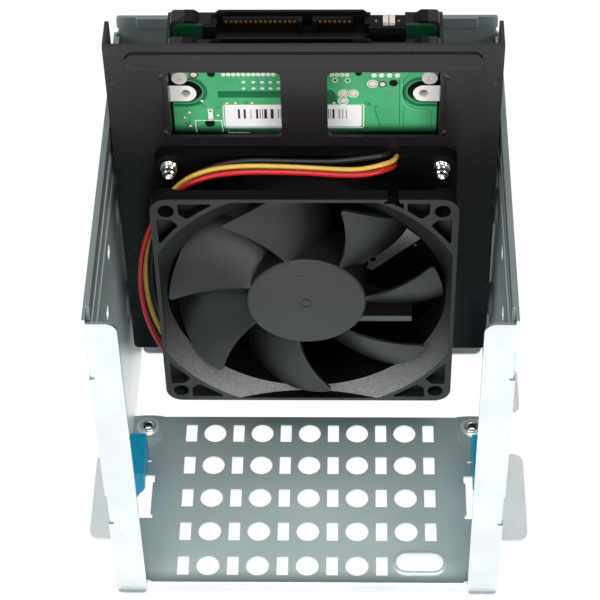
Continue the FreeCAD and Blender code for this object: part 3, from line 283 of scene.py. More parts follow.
def base_painted_shade(name, front, rear, half):
    # zinc-plated floor with painted shade: darker towards its rear, towards its sides and along its front fold (places
    # in m)
    k = Mat(name)
    g0 = k.noise(1900.0, 5.0, 0.6, (1.0, 0.25, 1.0))
    m0 = k.noise(70.0, 3.0)
    sep = k.t.nodes.new("ShaderNodeSeparateXYZ")
    k.link(k.co, sep.inputs["Vector"])
    side = k.t.nodes.new("ShaderNodeMath")
    side.operation = "ABSOLUTE"
    k.link(sep.outputs["X"], side.inputs[0])
    pale = k.blend(k.spread(m0, 0.0, 1.0), (0.68, 0.825, 0.83), (0.72, 0.86, 0.865))
    tone = k.blend(k.spread(sep.outputs["Y"], 0.0, 1.0, front + 0.030, rear), pale, (0.44, 0.54, 0.545))
    tone = k.blend(k.spread(side.outputs["Value"], 0.0, 1.0, half - 0.013, half), tone, (0.42, 0.53, 0.54))
    tone = k.blend(k.spread(sep.outputs["Y"], 0.85, 0.0, front + 0.0008, front + 0.0045), tone, (0.16, 0.20, 0.205))
    k.link(tone, k.b.inputs["Base Color"])
    k.link(k.spread(g0, 0.33, 0.43), k.b.inputs["Roughness"])
    k.b.inputs["Metallic"].default_value = 0.62
    h = k.noise(1800.0, 4.0, 0.6, (1.0, 0.25, 1.0))
    k.link(k.bump(h, 0.06, 0.00002), k.b.inputs["Normal"])
    return k.m


def contact_painted_shade(name, low, high):
    # copper tips on contact strips drawn near black below them: painted shade (heights in m)
    k = Mat(name)
    m0 = k.noise(900.0, 3.0)
    sep = k.t.nodes.new("ShaderNodeSeparateXYZ")
    k.link(k.co, sep.inputs["Vector"])
    tip = k.blend(k.spread(m0, 0.0, 1.0), (0.62, 0.28, 0.08), (0.74, 0.36, 0.12))
    k.link(k.blend(k.spread(sep.outputs["Z"], 0.0, 1.0, low, high), (0.020, 0.010, 0.004), tip), k.b.inputs["Base Color"])
    k.link(k.spread(m0, 0.28, 0.40), k.b.inputs["Roughness"])
    k.b.inputs["Metallic"].default_value = 0.8
    return k.m


floor_lo, floor_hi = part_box("base_plate")
pin_lo, pin_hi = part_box("rear_drive_contacts")
mats["zinc_base_painted_shade"] = base_painted_shade("zinc_base_painted_shade", floor_lo[1], floor_hi[1], floor_hi[0])
mats["copper_tips"] = contact_painted_shade("copper_tips", pin_hi[2] - 0.0014, pin_hi[2] - 0.0006)
mats["paint_painted_shade"] = finish_of("paint_painted_shade", (0.0025, 0.0025, 0.0025), 0.30, 0.0, (60.0, 0.10), (3000.0, 0.10), 0.05, (4200.0, 0.12, 0.00003), spec=0.12)
mats["paint_painted_reflection"] = finish_of("paint_painted_reflection", (0.055, 0.055, 0.054), 0.30, 0.0, (60.0, 0.10), (3000.0, 0.10), 0.05, (4200.0, 0.12, 0.00003), spec=0.30)
mats["charcoal_mouth_painted_highlight"] = mouth_painted_highlight("charcoal_mouth_painted_highlight", (-38.0 + FAN_Z) * MM, (2.0 + FAN_Z) * MM)
mats["zinc_inner"] = wall_painted_shade("zinc_inner", (2.0 + FAN_Z) * MM, (52.0 + FAN_Z) * MM)
mats["black_paint"] = paint_painted_sheen("black_paint", (28.0 + FAN_Z) * MM, (74.0 + FAN_Z) * MM)
# near-black copy of the charcoal: painted shade
mats["charcoal_painted_shade"] = finish_of("charcoal_painted_shade", (0.003, 0.003, 0.003), 0.46, 0.0, (80.0, 0.10), (3000.0, 0.30), 0.10,
                                   (2400.0, 0.70, 0.00010), spec=0.10)
# darker copy of the zinc: painted shade on the rear wall's inner face, the walls' top edges and the flange cut edges
mats["zinc_painted_shade"] = finish_of("zinc_painted_shade", (0.27, 0.32, 0.325), 0.42, 0.75, (70.0, 0.06), (1900.0, 0.06), 0.05,
                              (1800.0, 0.06, 0.00002), stretch=(1.0, 1.0, 0.25))
mats["green_board"] = board_painted_shade("green_board", (39.6 + FAN_Z) * MM, (43.2 + FAN_Z) * MM)
# darker copy of the board green for the rear drive's board: painted shade
mats["green_board_rear_painted_shade"] = finish_of("green_board_rear_painted_shade", (0.004, 0.047, 0.018), 0.42, 0.0, (160.0, 0.15), (1400.0, 0.06), 0.06,
                                     (900.0, 0.10, 0.00003), spec=0.3)

record_slots = {s["node"]: s["material_slot"] for s in frame["record"]["subparts"]}


# ------------------------------------------------------------------ cords
# the same route points as the CAD wires, in mm from the fan's front centre
WIRE_D = 1.4
PLUG_X, PLUG_Y, PLUG_Z, PIN = 9.0, 31.0, -63.05, 2.54
routes = {
    "fan_wire_yellow": ("yellow_wire", 0.1944, [
        (24.1, 19.3, 36.9), (23.65, 17.8, 37.35), (22.7, 16.3, 37.9), (21.0, 14.8, 38.5), (18.2, 13.5, 38.7),
        (14.2, 12.5, 38.6), (9.0, 11.9, 39.2), (2.0, 11.6, 40.1), (-6.0, 11.9, 40.35), (-17.0, 12.2, 40.3), (-25.5, 12.2, 38.8),
        (-32.0, 12.2, 35.0), (-37.0, 12.0, 28.5), (-41.0, 11.5, 19.0), (-43.6, 11.2, 8.5), (-44.4, 11.0, -3.0), (-43.6, 10.8, -14.0),
        (-40.9, 10.6, -24.0), (-36.9, 10.7, -33.2), (-32.0, 12.9, -41.2), (-26.3, 17.0, -48.0), (-20.0, 21.6, -53.6), (-13.0, 25.8, -58.2),
        (-6.0, 28.8, -61.4), (0.0, 30.5, -62.9), (4.8, PLUG_Y, PLUG_Z), (PLUG_X, PLUG_Y, PLUG_Z)]),
    "fan_wire_red": ("red_wire", 0.1985, [
        (23.8, 19.3, 34.7), (23.55, 17.7, 35.2), (23.0, 16.2, 36.0), (22.2, 14.7, 37.0), (20.9, 13.2, 37.8), (18.8, 11.8, 38.3),
        (15.2, 10.6, 38.5), (10.0, 9.95, 39.0), (2.6, 9.6, 40.15), (-6.0, 9.8, 40.35), (-17.0, 10.0, 40.2), (-25.5, 10.1, 38.5),
        (-32.6, 10.2, 34.2), (-38.2, 10.1, 27.2), (-42.3, 9.9, 18.0), (-44.9, 9.6, 7.5), (-45.8, 9.4, -4.0), (-45.0, 9.2, -15.0),
        (-42.3, 9.0, -25.2), (-38.2, 9.2, -34.8), (-33.0, 11.2, -43.0), (-27.0, 14.9, -49.8), (-20.5, 19.3, -55.2), (-13.4, 23.4, -59.6),
        (-6.2, 26.4, -62.6), (-0.2, 28.0, -63.6), (4.8, PLUG_Y - PIN, PLUG_Z), (PLUG_X, PLUG_Y - PIN, PLUG_Z)]),
    "fan_wire_black": ("black_wire", 0.1876, [
        (22.1, 19.3, 38.9), (21.8, 17.8, 39.6), (21.0, 16.4, 40.4), (19.5, 15.3, 40.9), (16.8, 14.7, 40.8),
        (12.4, 14.3, 40.4), (6.6, 13.9, 40.1), (-5.0, 13.9, 40.45), (-16.0, 14.0, 40.5), (-24.2, 14.0, 38.6), (-30.4, 14.0, 34.6),
        (-35.3, 13.8, 28.2), (-39.3, 13.4, 19.0), (-41.9, 13.1, 8.5), (-42.8, 12.9, -3.0), (-42.1, 12.7, -13.6), (-39.2, 12.4, -23.0),
        (-34.6, 12.5, -31.6), (-29.6, 14.6, -39.6), (-24.4, 18.6, -46.2), (-18.4, 23.2, -51.8), (-11.8, 27.6, -56.4), (-5.0, 30.9, -59.8),
        (0.6, 32.8, -61.8), (5.0, PLUG_Y + PIN, PLUG_Z), (PLUG_X, PLUG_Y + PIN, PLUG_Z)]),
}
for node, (slot, length, pts) in routes.items():
    curve = bpy.data.curves.new(node + "_lead", "CURVE")
    curve.dimensions = "3D"
    sp = curve.splines.new("NURBS")
    sp.points.add(len(pts) - 1)
    for q, p in zip(sp.points, pts):
        v = P(*p)
        q.co = (v.x, v.y, v.z, 1.0)
    sp.order_u = 3
    sp.use_endpoint_u = True
    sp.resolution_u = 12
    curve.bevel_depth = WIRE_D / 2 * MM
    curve.bevel_resolution = 6
    curve.use_fill_caps = True
    lead = bpy.data.objects.new(node + "_lead", curve)
    scene.collection.objects.link(lead)
    curve.materials.append(mats[slot])
    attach(lead, "cage")
    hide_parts(node)


# ------------------------------------------------------------------ CAD nodes: materials, softened edges
def soften(o, width, segments=2, angle=32.0, split=None):
    w = o.modifiers.new("weld", "WELD")
    w.merge_threshold = 2e-6
    d = o.modifiers.new("flat", "DECIMATE")
    d.decimate_type = "DISSOLVE"
    d.angle_limit = math.radians(0.6)
    d.delimit = {"MATERIAL"}
    if width > 0:
        b = o.modifiers.new("edge", "BEVEL")
        b.width = width * MM
        b.segments = segments
        b.limit_method = "ANGLE"
        b.angle_limit = math.radians(angle)
        b.harden_normals = False
        b.miter_outer = "MITER_ARC"
    if split:
        # keeps large flat sheets flat beside their shallow beads
        s = o.modifiers.new("creases", "EDGE_SPLIT")
        s.split_angle = math.radians(split)
    n = o.modifiers.new("normals", "WEIGHTED_NORMAL")
    n.weight = 50
    n.keep_sharp = False


edge_width = {
    "left_side_wall": 0.0, "right_side_wall": 0.0, "rear_wall": 0.14, "base_plate": 0.10, "drive_tray": 0.16,
    "fan_frame": 0.20, "left_latch": 0.22, "right_latch": 0.22, "fan_plug": 0.15,
    "front_drive_connector": 0.08, "rear_drive_connector": 0.08, "front_drive_casting": 0.12, "rear_drive_casting": 0.12,
    "front_drive_cover": 0.0, "rear_drive_cover": 0.0,
}
sheets = ("left_side_wall", "right_side_wall", "rear_wall", "base_plate", "drive_tray")
# faces of a node with a look of their own: (test on the face's centre in mm from the fan's front centre and its normal, look)
def is_lug(c, n, y0):
    return n.y < -0.5 and abs(c.x) > 27.9 and y0 - 0.05 < c.y < y0 + 0.3 and abs(c.z - 54.0) < 2.75


def is_lug_bore(c, n, y0):
    return abs(n.y) < 0.5 and math.hypot(abs(c.x) - 30.4, c.z - 54.0) < 1.9 and c.y < y0 + 3.0


def is_end(c, n, y0):
    return abs(c.x) > 31.3 and c.z > 61.0 and c.y > y0 + 1.4


# bore of a standoff nut, drawn near black: painted shade
def is_bore(c, n):
    return math.hypot(abs(c.x) - 47.4, c.y - 7.7) < 1.32 and abs(n.z) < 0.5


def is_fan_side(c, n):
    # outer top of the fan's flanges and duct, an upward flat at the bottom of the mouth, and everything deep in the
    # bore: near-black charcoal as painted shade
    r = math.hypot(c.x, c.z)
    if n.z > 0.9 and c.z < -34.0 and abs(c.x) < 22.0 and 0.0 < c.y < 3.75:
        return True
    return (n.z > 0.5 and c.z > 20.0 and r > 38.6) or c.y > 3.75


def is_mouth(c, n):
    # the cone that opens from the bore to the fan's front
    r = math.hypot(c.x, c.z)
    return 37.4 < r < 44.0 and c.y < 3.75 and n.y < -0.5 and (n.x * c.x + n.z * c.z) / r < -0.25


def is_inside(c, n, s):
    # inner face of a side wall
    return n.x * s < -0.8


def is_lap(c, n):
    # tab of a side wall that laps over the floor's front corner
    return n.z > 0.9 and c.z < -55.0 and abs(c.x) < 58.0 and -46.0 < c.y < -30.0


def is_flange_edge(c, n):
    # cut edges of a side wall's front flange
    return c.y < -46.3 and abs(n.y) < 0.5 and abs(c.x) < 61.0


def is_rim(c, n):
    # top edge of a side wall
    return n.z > 0.8 and c.z > 40.0


def is_floor(c, n):
    return n.z > 0.9 and c.z > -66.0 + 1.0


def is_bead(c, n, s):
    # rounded upper (s = 1) or lower (s = -1) edge of the long bead on the tray; the upper takes a darker copy of the
    # paint as painted shade, the lower a paler copy as painted reflection
    return abs(c.x) < 46.0 and abs(c.z - 69.65 - s * 1.9) < 1.0 and n.z * s > 0.12


face_looks = {
    "front_drive_casting": [(lambda c, n: is_lug(c, n, 25.0), "land_painted_highlight"), (lambda c, n: is_lug_bore(c, n, 25.0), "bare_metal"), (lambda c, n: is_end(c, n, 25.0), "casting_edge")],
    "rear_drive_casting": [(lambda c, n: is_lug(c, n, 35.7), "land_painted_highlight"), (lambda c, n: is_lug_bore(c, n, 35.7), "bare_metal"), (lambda c, n: is_end(c, n, 35.7), "casting_edge")],
    "base_standoffs": [(is_bore, "hole_painted_shade")],
    "base_plate": [(is_floor, "zinc_base_painted_shade")],
    "drive_tray": [(lambda c, n: is_bead(c, n, 1.0), "paint_painted_shade"), (lambda c, n: is_bead(c, n, -1.0), "paint_painted_reflection")],
    "fan_frame": [(is_fan_side, "charcoal_painted_shade"), (is_mouth, "charcoal_mouth_painted_highlight")],
    "left_side_wall": [(is_flange_edge, "zinc_painted_shade"), (is_lap, "zinc_base_painted_shade"), (lambda c, n: is_inside(c, n, -1.0), "zinc_inner"), (is_rim, "zinc_painted_shade")],
    "right_side_wall": [(is_flange_edge, "zinc_painted_shade"), (is_lap, "zinc_base_painted_shade"), (lambda c, n: is_inside(c, n, 1.0), "zinc_inner"), (is_rim, "zinc_painted_shade")],
    "rear_wall": [(lambda c, n: n.y < -0.6 and c.z > 20.0, "zinc_painted_shade"), (is_rim, "zinc_painted_shade")],
    "fan_impeller": [(lambda c, n: n.y < -0.7 and math.hypot(c.x, c.z) < 17.6 and c.y < 1.2, "charcoal_hub_painted_light")],
}
own_look = {"rear_drive_contacts": "copper_tips", "front_drive_contacts": "copper_tips", "rear_drive_board": "green_board_rear_painted_shade", "front_drive_board_screws": "screw_bright"}
for name, o in nodes.items():
    o.data.materials.clear()
    o.data.materials.append(mats[own_look.get(name, record_slots[name])])
    looks = face_looks.get(name, [])
    for test, look in looks:
        o.data.materials.append(mats[look])
    for p in o.data.polygons:
        p.material_index = 0
        p.use_smooth = True
        if looks:
            c = p.center / MM
            c = Vector((c.x, c.y - FAN_Y, c.z - FAN_Z))
            for i, (test, look) in enumerate(looks):
                if test(c, p.normal):
                    p.material_index = i + 1
                    break
    if name in edge_width:
        soften(o, edge_width[name], split=14.0 if name in sheets else None)
    else:
        w = o.modifiers.new("weld", "WELD")
        w.merge_threshold = 2e-6
        s = o.modifiers.new("creases", "EDGE_SPLIT")
        s.split_angle = math.radians(30)


# ------------------------------------------------------------------ small geometry builder
class Shape:
    def __init__(self, name, mat, slot=None, body="cage"):
        self.name, self.mat, self.slot, self.body = name, mat, slot, body
        self.v, self.f = [], []

    def prism(self, outline, y0, y1):
        # outline: (x, z) points in mm; from y0 (front) to y1
        n, k = len(outline), len(self.v)
        for y in (y0, y1):
            for x, z in outline:
                self.v.append(P(x, y, z))
        self.f.append(tuple(range(k, k + n)))
        self.f.append(tuple(range(k + 2 * n - 1, k + n - 1, -1)))
        for i in range(n):
            j = (i + 1) % n
            self.f.append((k + j, k + i, k + n + i, k + n + j))

    def box(self, x0, x1, y0, y1, z0, z1):
        self.prism([(x0, z0), (x1, z0), (x1, z1), (x0, z1)], y0, y1)

    def disc(self, x, z, r, y0, y1, n=20, rz=None):
        rz = rz or r
        self.prism([(x + r * math.cos(2 * math.pi * i / n), z + rz * math.sin(2 * math.pi * i / n)) for i in range(n)], y0, y1)

    def dome(self, x, z, r, y0, y1, n=18, rz=None):
        # low rounded button on a plane facing -Y
        rz = rz or r
        k = len(self.v)
        rings = [(1.0, y1), (0.97, y0 + 0.35 * (y1 - y0)), (0.8, y0 + 0.1 * (y1 - y0)), (0.45, y0)]
        for s, y in rings:
            for i in range(n):
                a = 2 * math.pi * i / n
                self.v.append(P(x + s * r * math.cos(a), y, z + s * rz * math.sin(a)))
        for q in range(len(rings) - 1):
            for i in range(n):
                j = (i + 1) % n
                self.f.append((k + q * n + i, k + q * n + j, k + (q + 1) * n + j, k + (q + 1) * n + i))
        self.f.append(tuple(k + (len(rings) - 1) * n + i for i in range(n)))

    def ring(self, x, z, r0, r1, y0, y1, n=24):
        k = len(self.v)
        for r in (r0, r1):
            for y in (y0, y1):
                for i in range(n):
                    a = 2 * math.pi * i / n
                    self.v.append(P(x + r * math.cos(a), y, z + r * math.sin(a)))
        for i in range(n):
            j = (i + 1) % n
            a, b, c, d = k, k + n, k + 2 * n, k + 3 * n     # inner front, inner back, outer front, outer back
            self.f.append((a + i, a + j, c + j, c + i))
            self.f.append((b + j, b + i, d + i, d + j))
            self.f.append((c + i, c + j, d + j, d + i))
            self.f.append((a + j, a + i, b + i, b + j))

    def line(self, pts, width, y0, y1):
        # a flat track along (x, z) points
        n = len(pts)
        left, right = [], []
        for i in range(n):
            a, b = pts[max(0, i - 1)], pts[min(n - 1, i + 1)]
            dx, dz = b[0] - a[0], b[1] - a[1]
            ln = math.hypot(dx, dz) or 1.0
            nx, nz = -dz / ln * width / 2, dx / ln * width / 2
            left.append((pts[i][0] + nx, pts[i][1] + nz))
            right.append((pts[i][0] - nx, pts[i][1] - nz))
        k = len(self.v)
        for y in (y0, y1):
            for p in left + right:
                self.v.append(P(p[0], y, p[1]))
        m = 2 * n
        for i in range(n - 1):
            self.f.append((k + i, k + i + 1, k + n + i + 1, k + n + i))
            self.f.append((k + m + i + 1, k + m + i, k + m + n + i, k + m + n + i + 1))
            self.f.append((k + i + 1, k + i, k + m + i, k + m + i + 1))
            self.f.append((k + n + i, k + n + i + 1, k + m + n + i + 1, k + m + n + i))
        self.f.append((k, k + n, k + m + n, k + m))
        self.f.append((k + n - 1, k + m + n - 1, k + m + 2 * n - 1, k + 2 * n - 1))

    def make(self, smooth=False):
        me = bpy.data.meshes.new(self.name)
        me.from_pydata([tuple(v) for v in self.v], [], self.f)
        me.update()
        o = bpy.data.objects.new(self.name, me)
        scene.collection.objects.link(o)
        me.materials.append(mats[self.mat])
        if smooth:
            for p in me.polygons:
                p.use_smooth = True
        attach(o, self.body)
        return o


def arc(x, z, r, a0, a1, n=10):
    return [(x + r * math.cos(math.radians(a0 + (a1 - a0) * i / n)), z + r * math.sin(math.radians(a0 + (a1 - a0) * i / n))) for i in range(n + 1)]


# ------------------------------------------------------------------ front drive's board
FB = 25.6                       # face of the front board
pads = Shape("front_board_pads", "tin")
vias = Shape("front_board_vias", "pad_gold")
rings = Shape("front_board_rings", "ring_brown")
marks = Shape("front_board_marks", "mark_white")
dark = Shape("front_board_tracks", "trace_dark", "green_board")
pale = Shape("front_board_tracks_pale", "trace_light", "green_board")
drill = Shape("front_board_drillings", "hole_painted_shade")

for i in range(11):
    x = -20.89 + 1.29 * i
    marks.ring(x, 59.95, 0.40, 0.60, FB - 0.03, FB + 0.01)
    pads.dome(x, 59.95, 0.50, FB - 0.10, FB + 0.01, rz=0.62)
for x, z in ((-15.8, 57.37), (-13.23, 57.36), (-10.96, 57.36), (-8.81, 57.36), (-6.69, 57.35),
             (-15.8, 55.19), (-13.23, 55.18), (-10.94, 55.18), (-8.82, 55.18), (-6.72, 55.18)):
    pads.dome(x, z, 0.52, FB - 0.10, FB + 0.01, rz=0.42)
for x, z in ((-26.82, 50.83), (-20.32, 50.02), (-18.15, 50.12), (-13.79, 50.12), (-30.3, 46.78), (-31.59, 45.0), (-22.87, 45.78),
             (-30.25, 42.03), (7.61, 50.1)):
    rings.disc(x, z, 0.56, FB - 0.03, FB + 0.01)
    vias.dome(x, z, 0.44, FB - 0.09, FB + 0.01)
rings.disc(-28.56, 59.86, 1.25, FB - 0.03, FB + 0.01, 28)
vias.dome(-28.56, 59.95, 0.82, FB - 0.14, FB + 0.01, 24, 0.75)
for x, z, r in ((-24.04, 60.2, 0.95), (13.97, 60.4, 0.80), (23.01, 57.04, 1.05), (-25.1, 43.0, 1.25)):
    drill.disc(x, z, r, FB - 0.02, FB + 0.01, 26)
    dark.ring(x, z, r, r + 0.16, FB - 0.03, FB + 0.01)
for x in (7.15, 8.44, 9.72, 11.01):
    marks.ring(x, 59.81, 0.34, 0.60, FB - 0.03, FB + 0.01)
    pads.ring(x, 59.81, 0.22, 0.50, FB - 0.09, FB + 0.01)
for x in (17.96, 19.89, 21.94, 24.0):
    marks.ring(x, 59.62, 0.52, 0.72, FB - 0.03, FB + 0.01)
    pads.dome(x, 59.62, 0.62, FB - 0.10, FB + 0.01)
for x, z in ((10.09, 53.42), (12.64, 53.42), (10.03, 50.87), (17.59, 56.77)):
    marks.ring(x, z, 1.10, 1.38, FB - 0.03, FB + 0.01, 30)
    vias.dome(x, z, 0.95, FB - 0.10, FB + 0.01, 26, 0.88)
    dark.ring(x, z, 0.95, 1.10, FB - 0.02, FB + 0.01, 30)
rings.disc(20.18, 56.63, 1.10, FB - 0.03, FB + 0.01, 26)
vias.dome(20.18, 56.63, 0.72, FB - 0.12, FB + 0.01, 24)
rings.disc(22.23, 53.82, 0.50, FB - 0.03, FB + 0.01)
vias.dome(22.23, 53.82, 0.24, FB - 0.07, FB + 0.01)
for x, z in ((7.9, 58.0), (11.2, 57.95)):
    marks.ring(x, z, 0.52, 0.76, FB - 0.03, FB + 0.01)
    dark.disc(x, z, 0.40, FB - 0.02, FB + 0.01)

# solder-mask bands, outlines and tracks
dark.box(-22.6, -6.2, FB - 0.025, FB + 0.01, 52.04, 54.32)
dark.prism([(5.9, 49.9), (8.4, 49.9), (8.4, 52.6), (7.2, 54.6), (5.9, 54.6)], FB - 0.02, FB + 0.01)
for s, r in ((-1, 4.62), (1, 4.62)):
    # dark border round each lug's recess
    cx, cz = s * 30.4, 54.0
    pts = [(s * 34.35, cz + r)] + [(s * (30.4 - r * math.sin(math.radians(a)) * 1.0), cz + r * math.cos(math.radians(a))) for a in range(0, 181, 15)] + [(s * 34.35, cz - r)]
    dark.line(pts, 1.0, FB - 0.022, FB + 0.01)
dark.line([(27.46, 60.9), (25.57, 58.1), (25.68, 51.8), (26.2, 50.2), (27.2, 49.0), (29.27, 47.97), (32.67, 47.79), (32.95, 46.5), (33.12, 40.2)], 0.17, FB - 0.022, FB + 0.01)
pale.line([(27.0, 60.9), (25.2, 58.2), (25.3, 51.7), (25.8, 50.0), (26.9, 48.6), (29.1, 47.6), (32.2, 47.4)], 0.22, FB - 0.02, FB + 0.01)
dark.line([(24.55, 58.5), (24.6, 55.3), (24.83, 40.2)], 0.16, FB - 0.022, FB + 0.01)
dark.line([(25.9, 48.8), (25.8, 40.2)], 0.14, FB - 0.022, FB + 0.01)
dark.line([(18.0, 48.6), (18.31, 47.63), (18.9, 45.2), (20.21, 40.3)], 0.2, FB - 0.022, FB + 0.01)
dark.line([(-23.6, 48.2), (-20.9, 49.4)], 0.14, FB - 0.022, FB + 0.01)
dark.line([(-30.3, 46.2), (-30.2, 43.4), (-31.4, 41.6)], 0.14, FB - 0.022, FB + 0.01)
dark.line([(-12.05, 59.2), (-11.95, 55.0)], 0.14, FB - 0.022, FB + 0.01)
dark.line([(-9.75, 59.2), (-9.7, 54.9)], 0.14, FB - 0.022, FB + 0.01)
dark.line([(-16.9, 58.0), (-17.1, 56.2), (-15.0, 54.6)], 0.12, FB - 0.022, FB + 0.01)
for x, z, r in ((-27.2, 49.6, 0.55), (-26.2, 48.9, 0.5), (16.2, 50.2, 0.55), (16.9, 49.5, 0.5), (-15.4, 50.2, 0.6), (-31.0, 43.0, 0.6), (18.6, 48.9, 0.45),
                (20.5, 41.0, 0.5), (16.2, 41.4, 0.4)):
    dark.ring(x, z, r * 0.62, r, FB - 0.022, FB + 0.01)
# thin white outlines: round the label's place, and of a part above the lower edge
marks.line([(-20.75, 41.35), (-21.35, 42.0), (-21.45, 48.9), (-20.9, 49.6)], 0.24, FB - 0.03, FB + 0.01)
marks.line([(-20.9, 41.35), (15.0, 41.35), (15.3, 41.7), (15.35, 49.2), (14.9, 49.75)], 0.24, FB - 0.03, FB + 0.01)
marks.line([(-28.75, 39.8), (-28.95, 44.0), (-21.75, 43.95)], 0.28, FB - 0.03, FB + 0.01)
marks.line([(-22.0, 43.9), (-21.75, 39.8)], 0.24, FB - 0.03, FB + 0.01)
marks.line([(-20.3, 40.4), (-20.3, 39.6), (-14.6, 39.6)], 0.2, FB - 0.03, FB + 0.01)
# a small white part with its solder ends
marks.box(-25.4, -24.2, FB - 0.45, FB + 0.01, 45.4, 47.2)
pads.box(-25.5, -24.1, FB - 0.40, FB + 0.01, 44.6, 45.4)
pads.box(-25.5, -24.1, FB - 0.40, FB + 0.01, 47.2, 48.0)
drill.disc(-24.8, 47.5, 0.25, FB - 0.42, FB - 0.30)
# bare green corners of the board near its lower end
pale.box(26.8, 31.2, FB - 0.02, FB + 0.01, 4.3, 6.6)
pale.box(20.8, 25.2, FB - 0.02, FB + 0.01, 11.8, 15.4)
for sh in (pads, vias, rings, marks, dark, pale, drill):
    sh.make()

# label with plain bars
bars = Shape("front_label_bars", "bar_ink")
bars_pale = Shape("front_label_bars_pale", "bar_pale")
x = -17.6
LB = FB - 0.1
while x < 11.0:
    w = rng.choice((0.22, 0.30, 0.38, 0.55, 0.75))
    (bars_pale if rng.random() < 0.36 else bars).box(x, x + w, LB - 0.02, LB + 0.01, 44.7, 48.0)
    x += w + rng.choice((0.3, 0.42, 0.6, 0.95, 1.2))
bars.make()
bars_pale.make()

# ------------------------------------------------------------------ connector ends of both drives
blocks = Shape("drive_end_caps", "connector_plastic", "connector_plastic")
for y0 in (25.0, 35.7):
    zt = 68.0
    # dark inner halves of the end blocks
    blocks.prism([(-31.2, zt - 4.0), (-27.55, zt - 4.0), (-27.55, zt - 0.95), (-28.85, zt + 0.03), (-31.2, zt + 0.03)], y0 + 1.57, y0 + 6.23)
    blocks.prism([(32.0, zt - 4.0), (32.0, zt + 0.03), (30.15, zt + 0.03), (28.35, zt - 1.45), (28.35, zt - 4.0)], y0 + 1.57, y0 + 6.23)
blocks.make()

# pale jumper block in the gap beside the rear drive's connector
jumper = Shape("rear_drive_jumper_block", "cream_plastic", "connector_plastic")
for x0, x1, z1 in ((20.3, 21.7, 66.9), (21.95, 23.4, 66.9), (23.65, 25.0, 66.4)):
    jumper.box(x0, x1, 35.7 + 2.2, 35.7 + 5.2, 64.2, z1)
jumper.make()

# machined bare land on the front drive's casting, below its board, drawn near white: painted highlight
land = Shape("front_drive_land", "land_painted_highlight", "casting")
land.prism([(16.5, -15.9), (31.33, -1.56), (27.25, 2.8), (16.5, -11.0)][::1], 26.52, 26.62)
land.make()
# two small near-white domes on the casting where glints show: painted highlight
glint_domes = Shape("front_drive_glint_domes", "tin", "casting")
glint_domes.dome(31.07, -26.06, 0.45, 26.3, 26.62)
glint_domes.dome(30.0, -4.21, 0.35, 26.4, 26.62)
glint_domes.make()
# small dark disc for a hole in the land: painted shade
pit = Shape("front_drive_land_hole", "hole_painted_shade", "casting")
pit.disc(18.1, -9.8, 0.9, 26.50, 26.60)
pit.make()

# ------------------------------------------------------------------ threads of the fan screws
threads = Shape("fan_screw_threads", "nickel", "nickel")
for sx in (-1, 1):
    for sz in (-1, 1):
        cx, cz = sx * 35.75, sz * 35.75
        n, turns, pitch = 28, 1.75, 0.72
        k = len(threads.v)
        steps = int(n * turns)
        for i in range(steps + 1):
            a = 2 * math.pi * i / n
            y = 15.32 + pitch * i / n
            for r, dy in ((2.04, -0.26), (2.36, -0.05), (2.36, 0.05), (2.04, 0.26)):
                threads.v.append(P(cx + r * math.cos(a), y + dy, cz + r * math.sin(a)))
        for i in range(steps):
            for q in range(4):
                a, b = k + 4 * i + q, k + 4 * i + (q + 1) % 4
                threads.f.append((a, b, b + 4, a + 4))
        threads.f.append((k + 3, k + 2, k + 1, k))
        e = k + 4 * steps
        threads.f.append((e, e + 1, e + 2, e + 3))
threads.make(True)

# ------------------------------------------------------------------ stage and light
floor_mesh = bpy.data.meshes.new("floor")
floor_mesh.from_pydata([(-3, -3, -0.0005), (3, -3, -0.0005), (3, 3, -0.0005), (-3, 3, -0.0005)], [], [(0, 1, 2, 3)])
floor = bpy.data.objects.new("floor", floor_mesh)
scene.collection.objects.link(floor)
fm = bpy.data.materials.new("light_table")
fm.use_nodes = True
ft = fm.node_tree
ft.nodes.clear()
fo = ft.nodes.new("ShaderNodeOutputMaterial")
fe = ft.nodes.new("ShaderNodeEmission")
# the white sheet is brightest round the object and fades with distance
fc = ft.nodes.new("ShaderNodeTexCoord")
fl = ft.nodes.new("ShaderNodeVectorMath")
fl.operation = "LENGTH"
ft.links.new(fc.outputs["Object"], fl.inputs[0])
fr = ft.nodes.new("ShaderNodeMapRange")
fr.interpolation_type = "SMOOTHSTEP"
fr.inputs["From Min"].default_value = 0.36
fr.inputs["From Max"].default_value = 0.90
fr.inputs["To Min"].default_value = 1.02
fr.inputs["To Max"].default_value = 0.50
ft.links.new(fl.outputs["Value"], fr.inputs["Value"])
ft.links.new(fr.outputs["Result"], fe.inputs["Strength"])
fe.inputs["Color"].default_value = (1.0, 1.0, 1.0, 1.0)
ft.links.new(fe.outputs["Emission"], fo.inputs["Surface"])
floor_mesh.materials.append(fm)

world = bpy.data.worlds.new("studio")
scene.world = world
world.use_nodes = True
wt = world.node_tree
wt.nodes.clear()
wo = wt.nodes.new("ShaderNodeOutputWorld")
wb = wt.nodes.new("ShaderNodeBackground")
wb.inputs["Color"].default_value = (1.0, 1.0, 1.0, 1.0)
# a white sweep that rises at the back, dark above and towards the front
wc = wt.nodes.new("ShaderNodeTexCoord")
ws = wt.nodes.new("ShaderNodeSeparateXYZ")
wt.links.new(wc.outputs["Generated"], ws.inputs["Vector"])


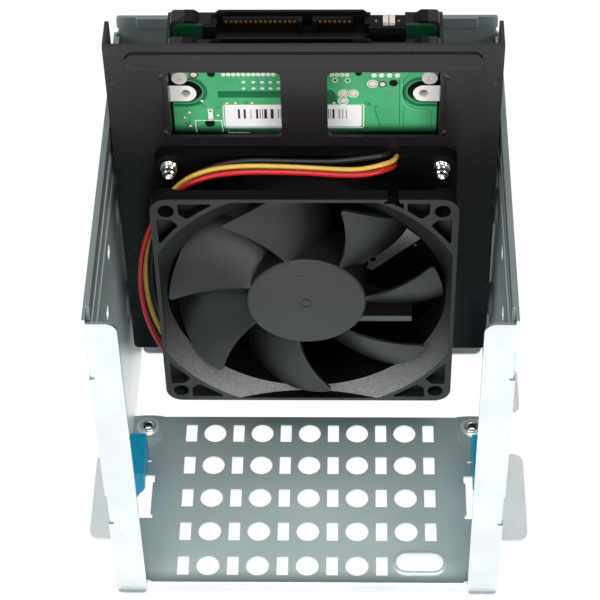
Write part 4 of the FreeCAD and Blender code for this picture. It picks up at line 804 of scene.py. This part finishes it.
def ramp(sock, f0, f1, t0, t1):
    r = wt.nodes.new("ShaderNodeMapRange")
    r.interpolation_type = "SMOOTHSTEP"
    r.inputs["From Min"].default_value = f0
    r.inputs["From Max"].default_value = f1
    r.inputs["To Min"].default_value = t0
    r.inputs["To Max"].default_value = t1
    wt.links.new(sock, r.inputs["Value"])
    return r.outputs["Result"]


def calc(op, a, b):
    m = wt.nodes.new("ShaderNodeMath")
    m.operation = op
    for k, v in enumerate((a, b)):
        if isinstance(v, float):
            m.inputs[k].default_value = v
        else:
            wt.links.new(v, m.inputs[k])
    return m.outputs["Value"]


sweep = calc("MULTIPLY", ramp(ws.outputs["Y"], 0.0, 0.40, 0.0, 0.45), ramp(ws.outputs["Z"], 0.25, 0.45, 0.0, 1.0))
glow = calc("ADD", calc("ADD", sweep, ramp(ws.outputs["Z"], 0.70, 0.85, 0.0, 0.25)), 0.10)
wl = wt.nodes.new("ShaderNodeLightPath")
seen = calc("MULTIPLY", wl.outputs["Is Camera Ray"], 2.0)
wt.links.new(calc("ADD", glow, seen), wb.inputs["Strength"])
wt.links.new(wb.outputs["Background"], wo.inputs["Surface"])


def area(name, loc, aim, size, power, color=(1, 1, 1)):
    d = bpy.data.lights.new(name, "AREA")
    d.shape = "RECTANGLE"
    d.size, d.size_y = size
    d.energy = power
    d.color = color
    o = bpy.data.objects.new(name, d)
    o.location = loc
    o.rotation_mode = "QUATERNION"
    o.rotation_quaternion = (Vector(aim) - Vector(loc)).to_track_quat("-Z", "Y")
    o.visible_camera = False
    scene.collection.objects.link(o)
    return o


area("left_box", (-0.78, -0.80, 0.52), (0, 0, 0.06), (0.55, 0.5), 7.3)
area("right_box", (0.78, -0.80, 0.52), (0, 0, 0.06), (0.55, 0.5), 7.3)
area("front_fill", (0.05, -1.20, 0.50), (0, 0, 0.06), (0.9, 0.4), 2.2)
area("top_box", (0.0, -0.42, 1.02), (0, 0, 0.06), (0.6, 0.4), 4.9)

scene.view_settings.view_transform = "Standard"
scene.view_settings.look = "None"
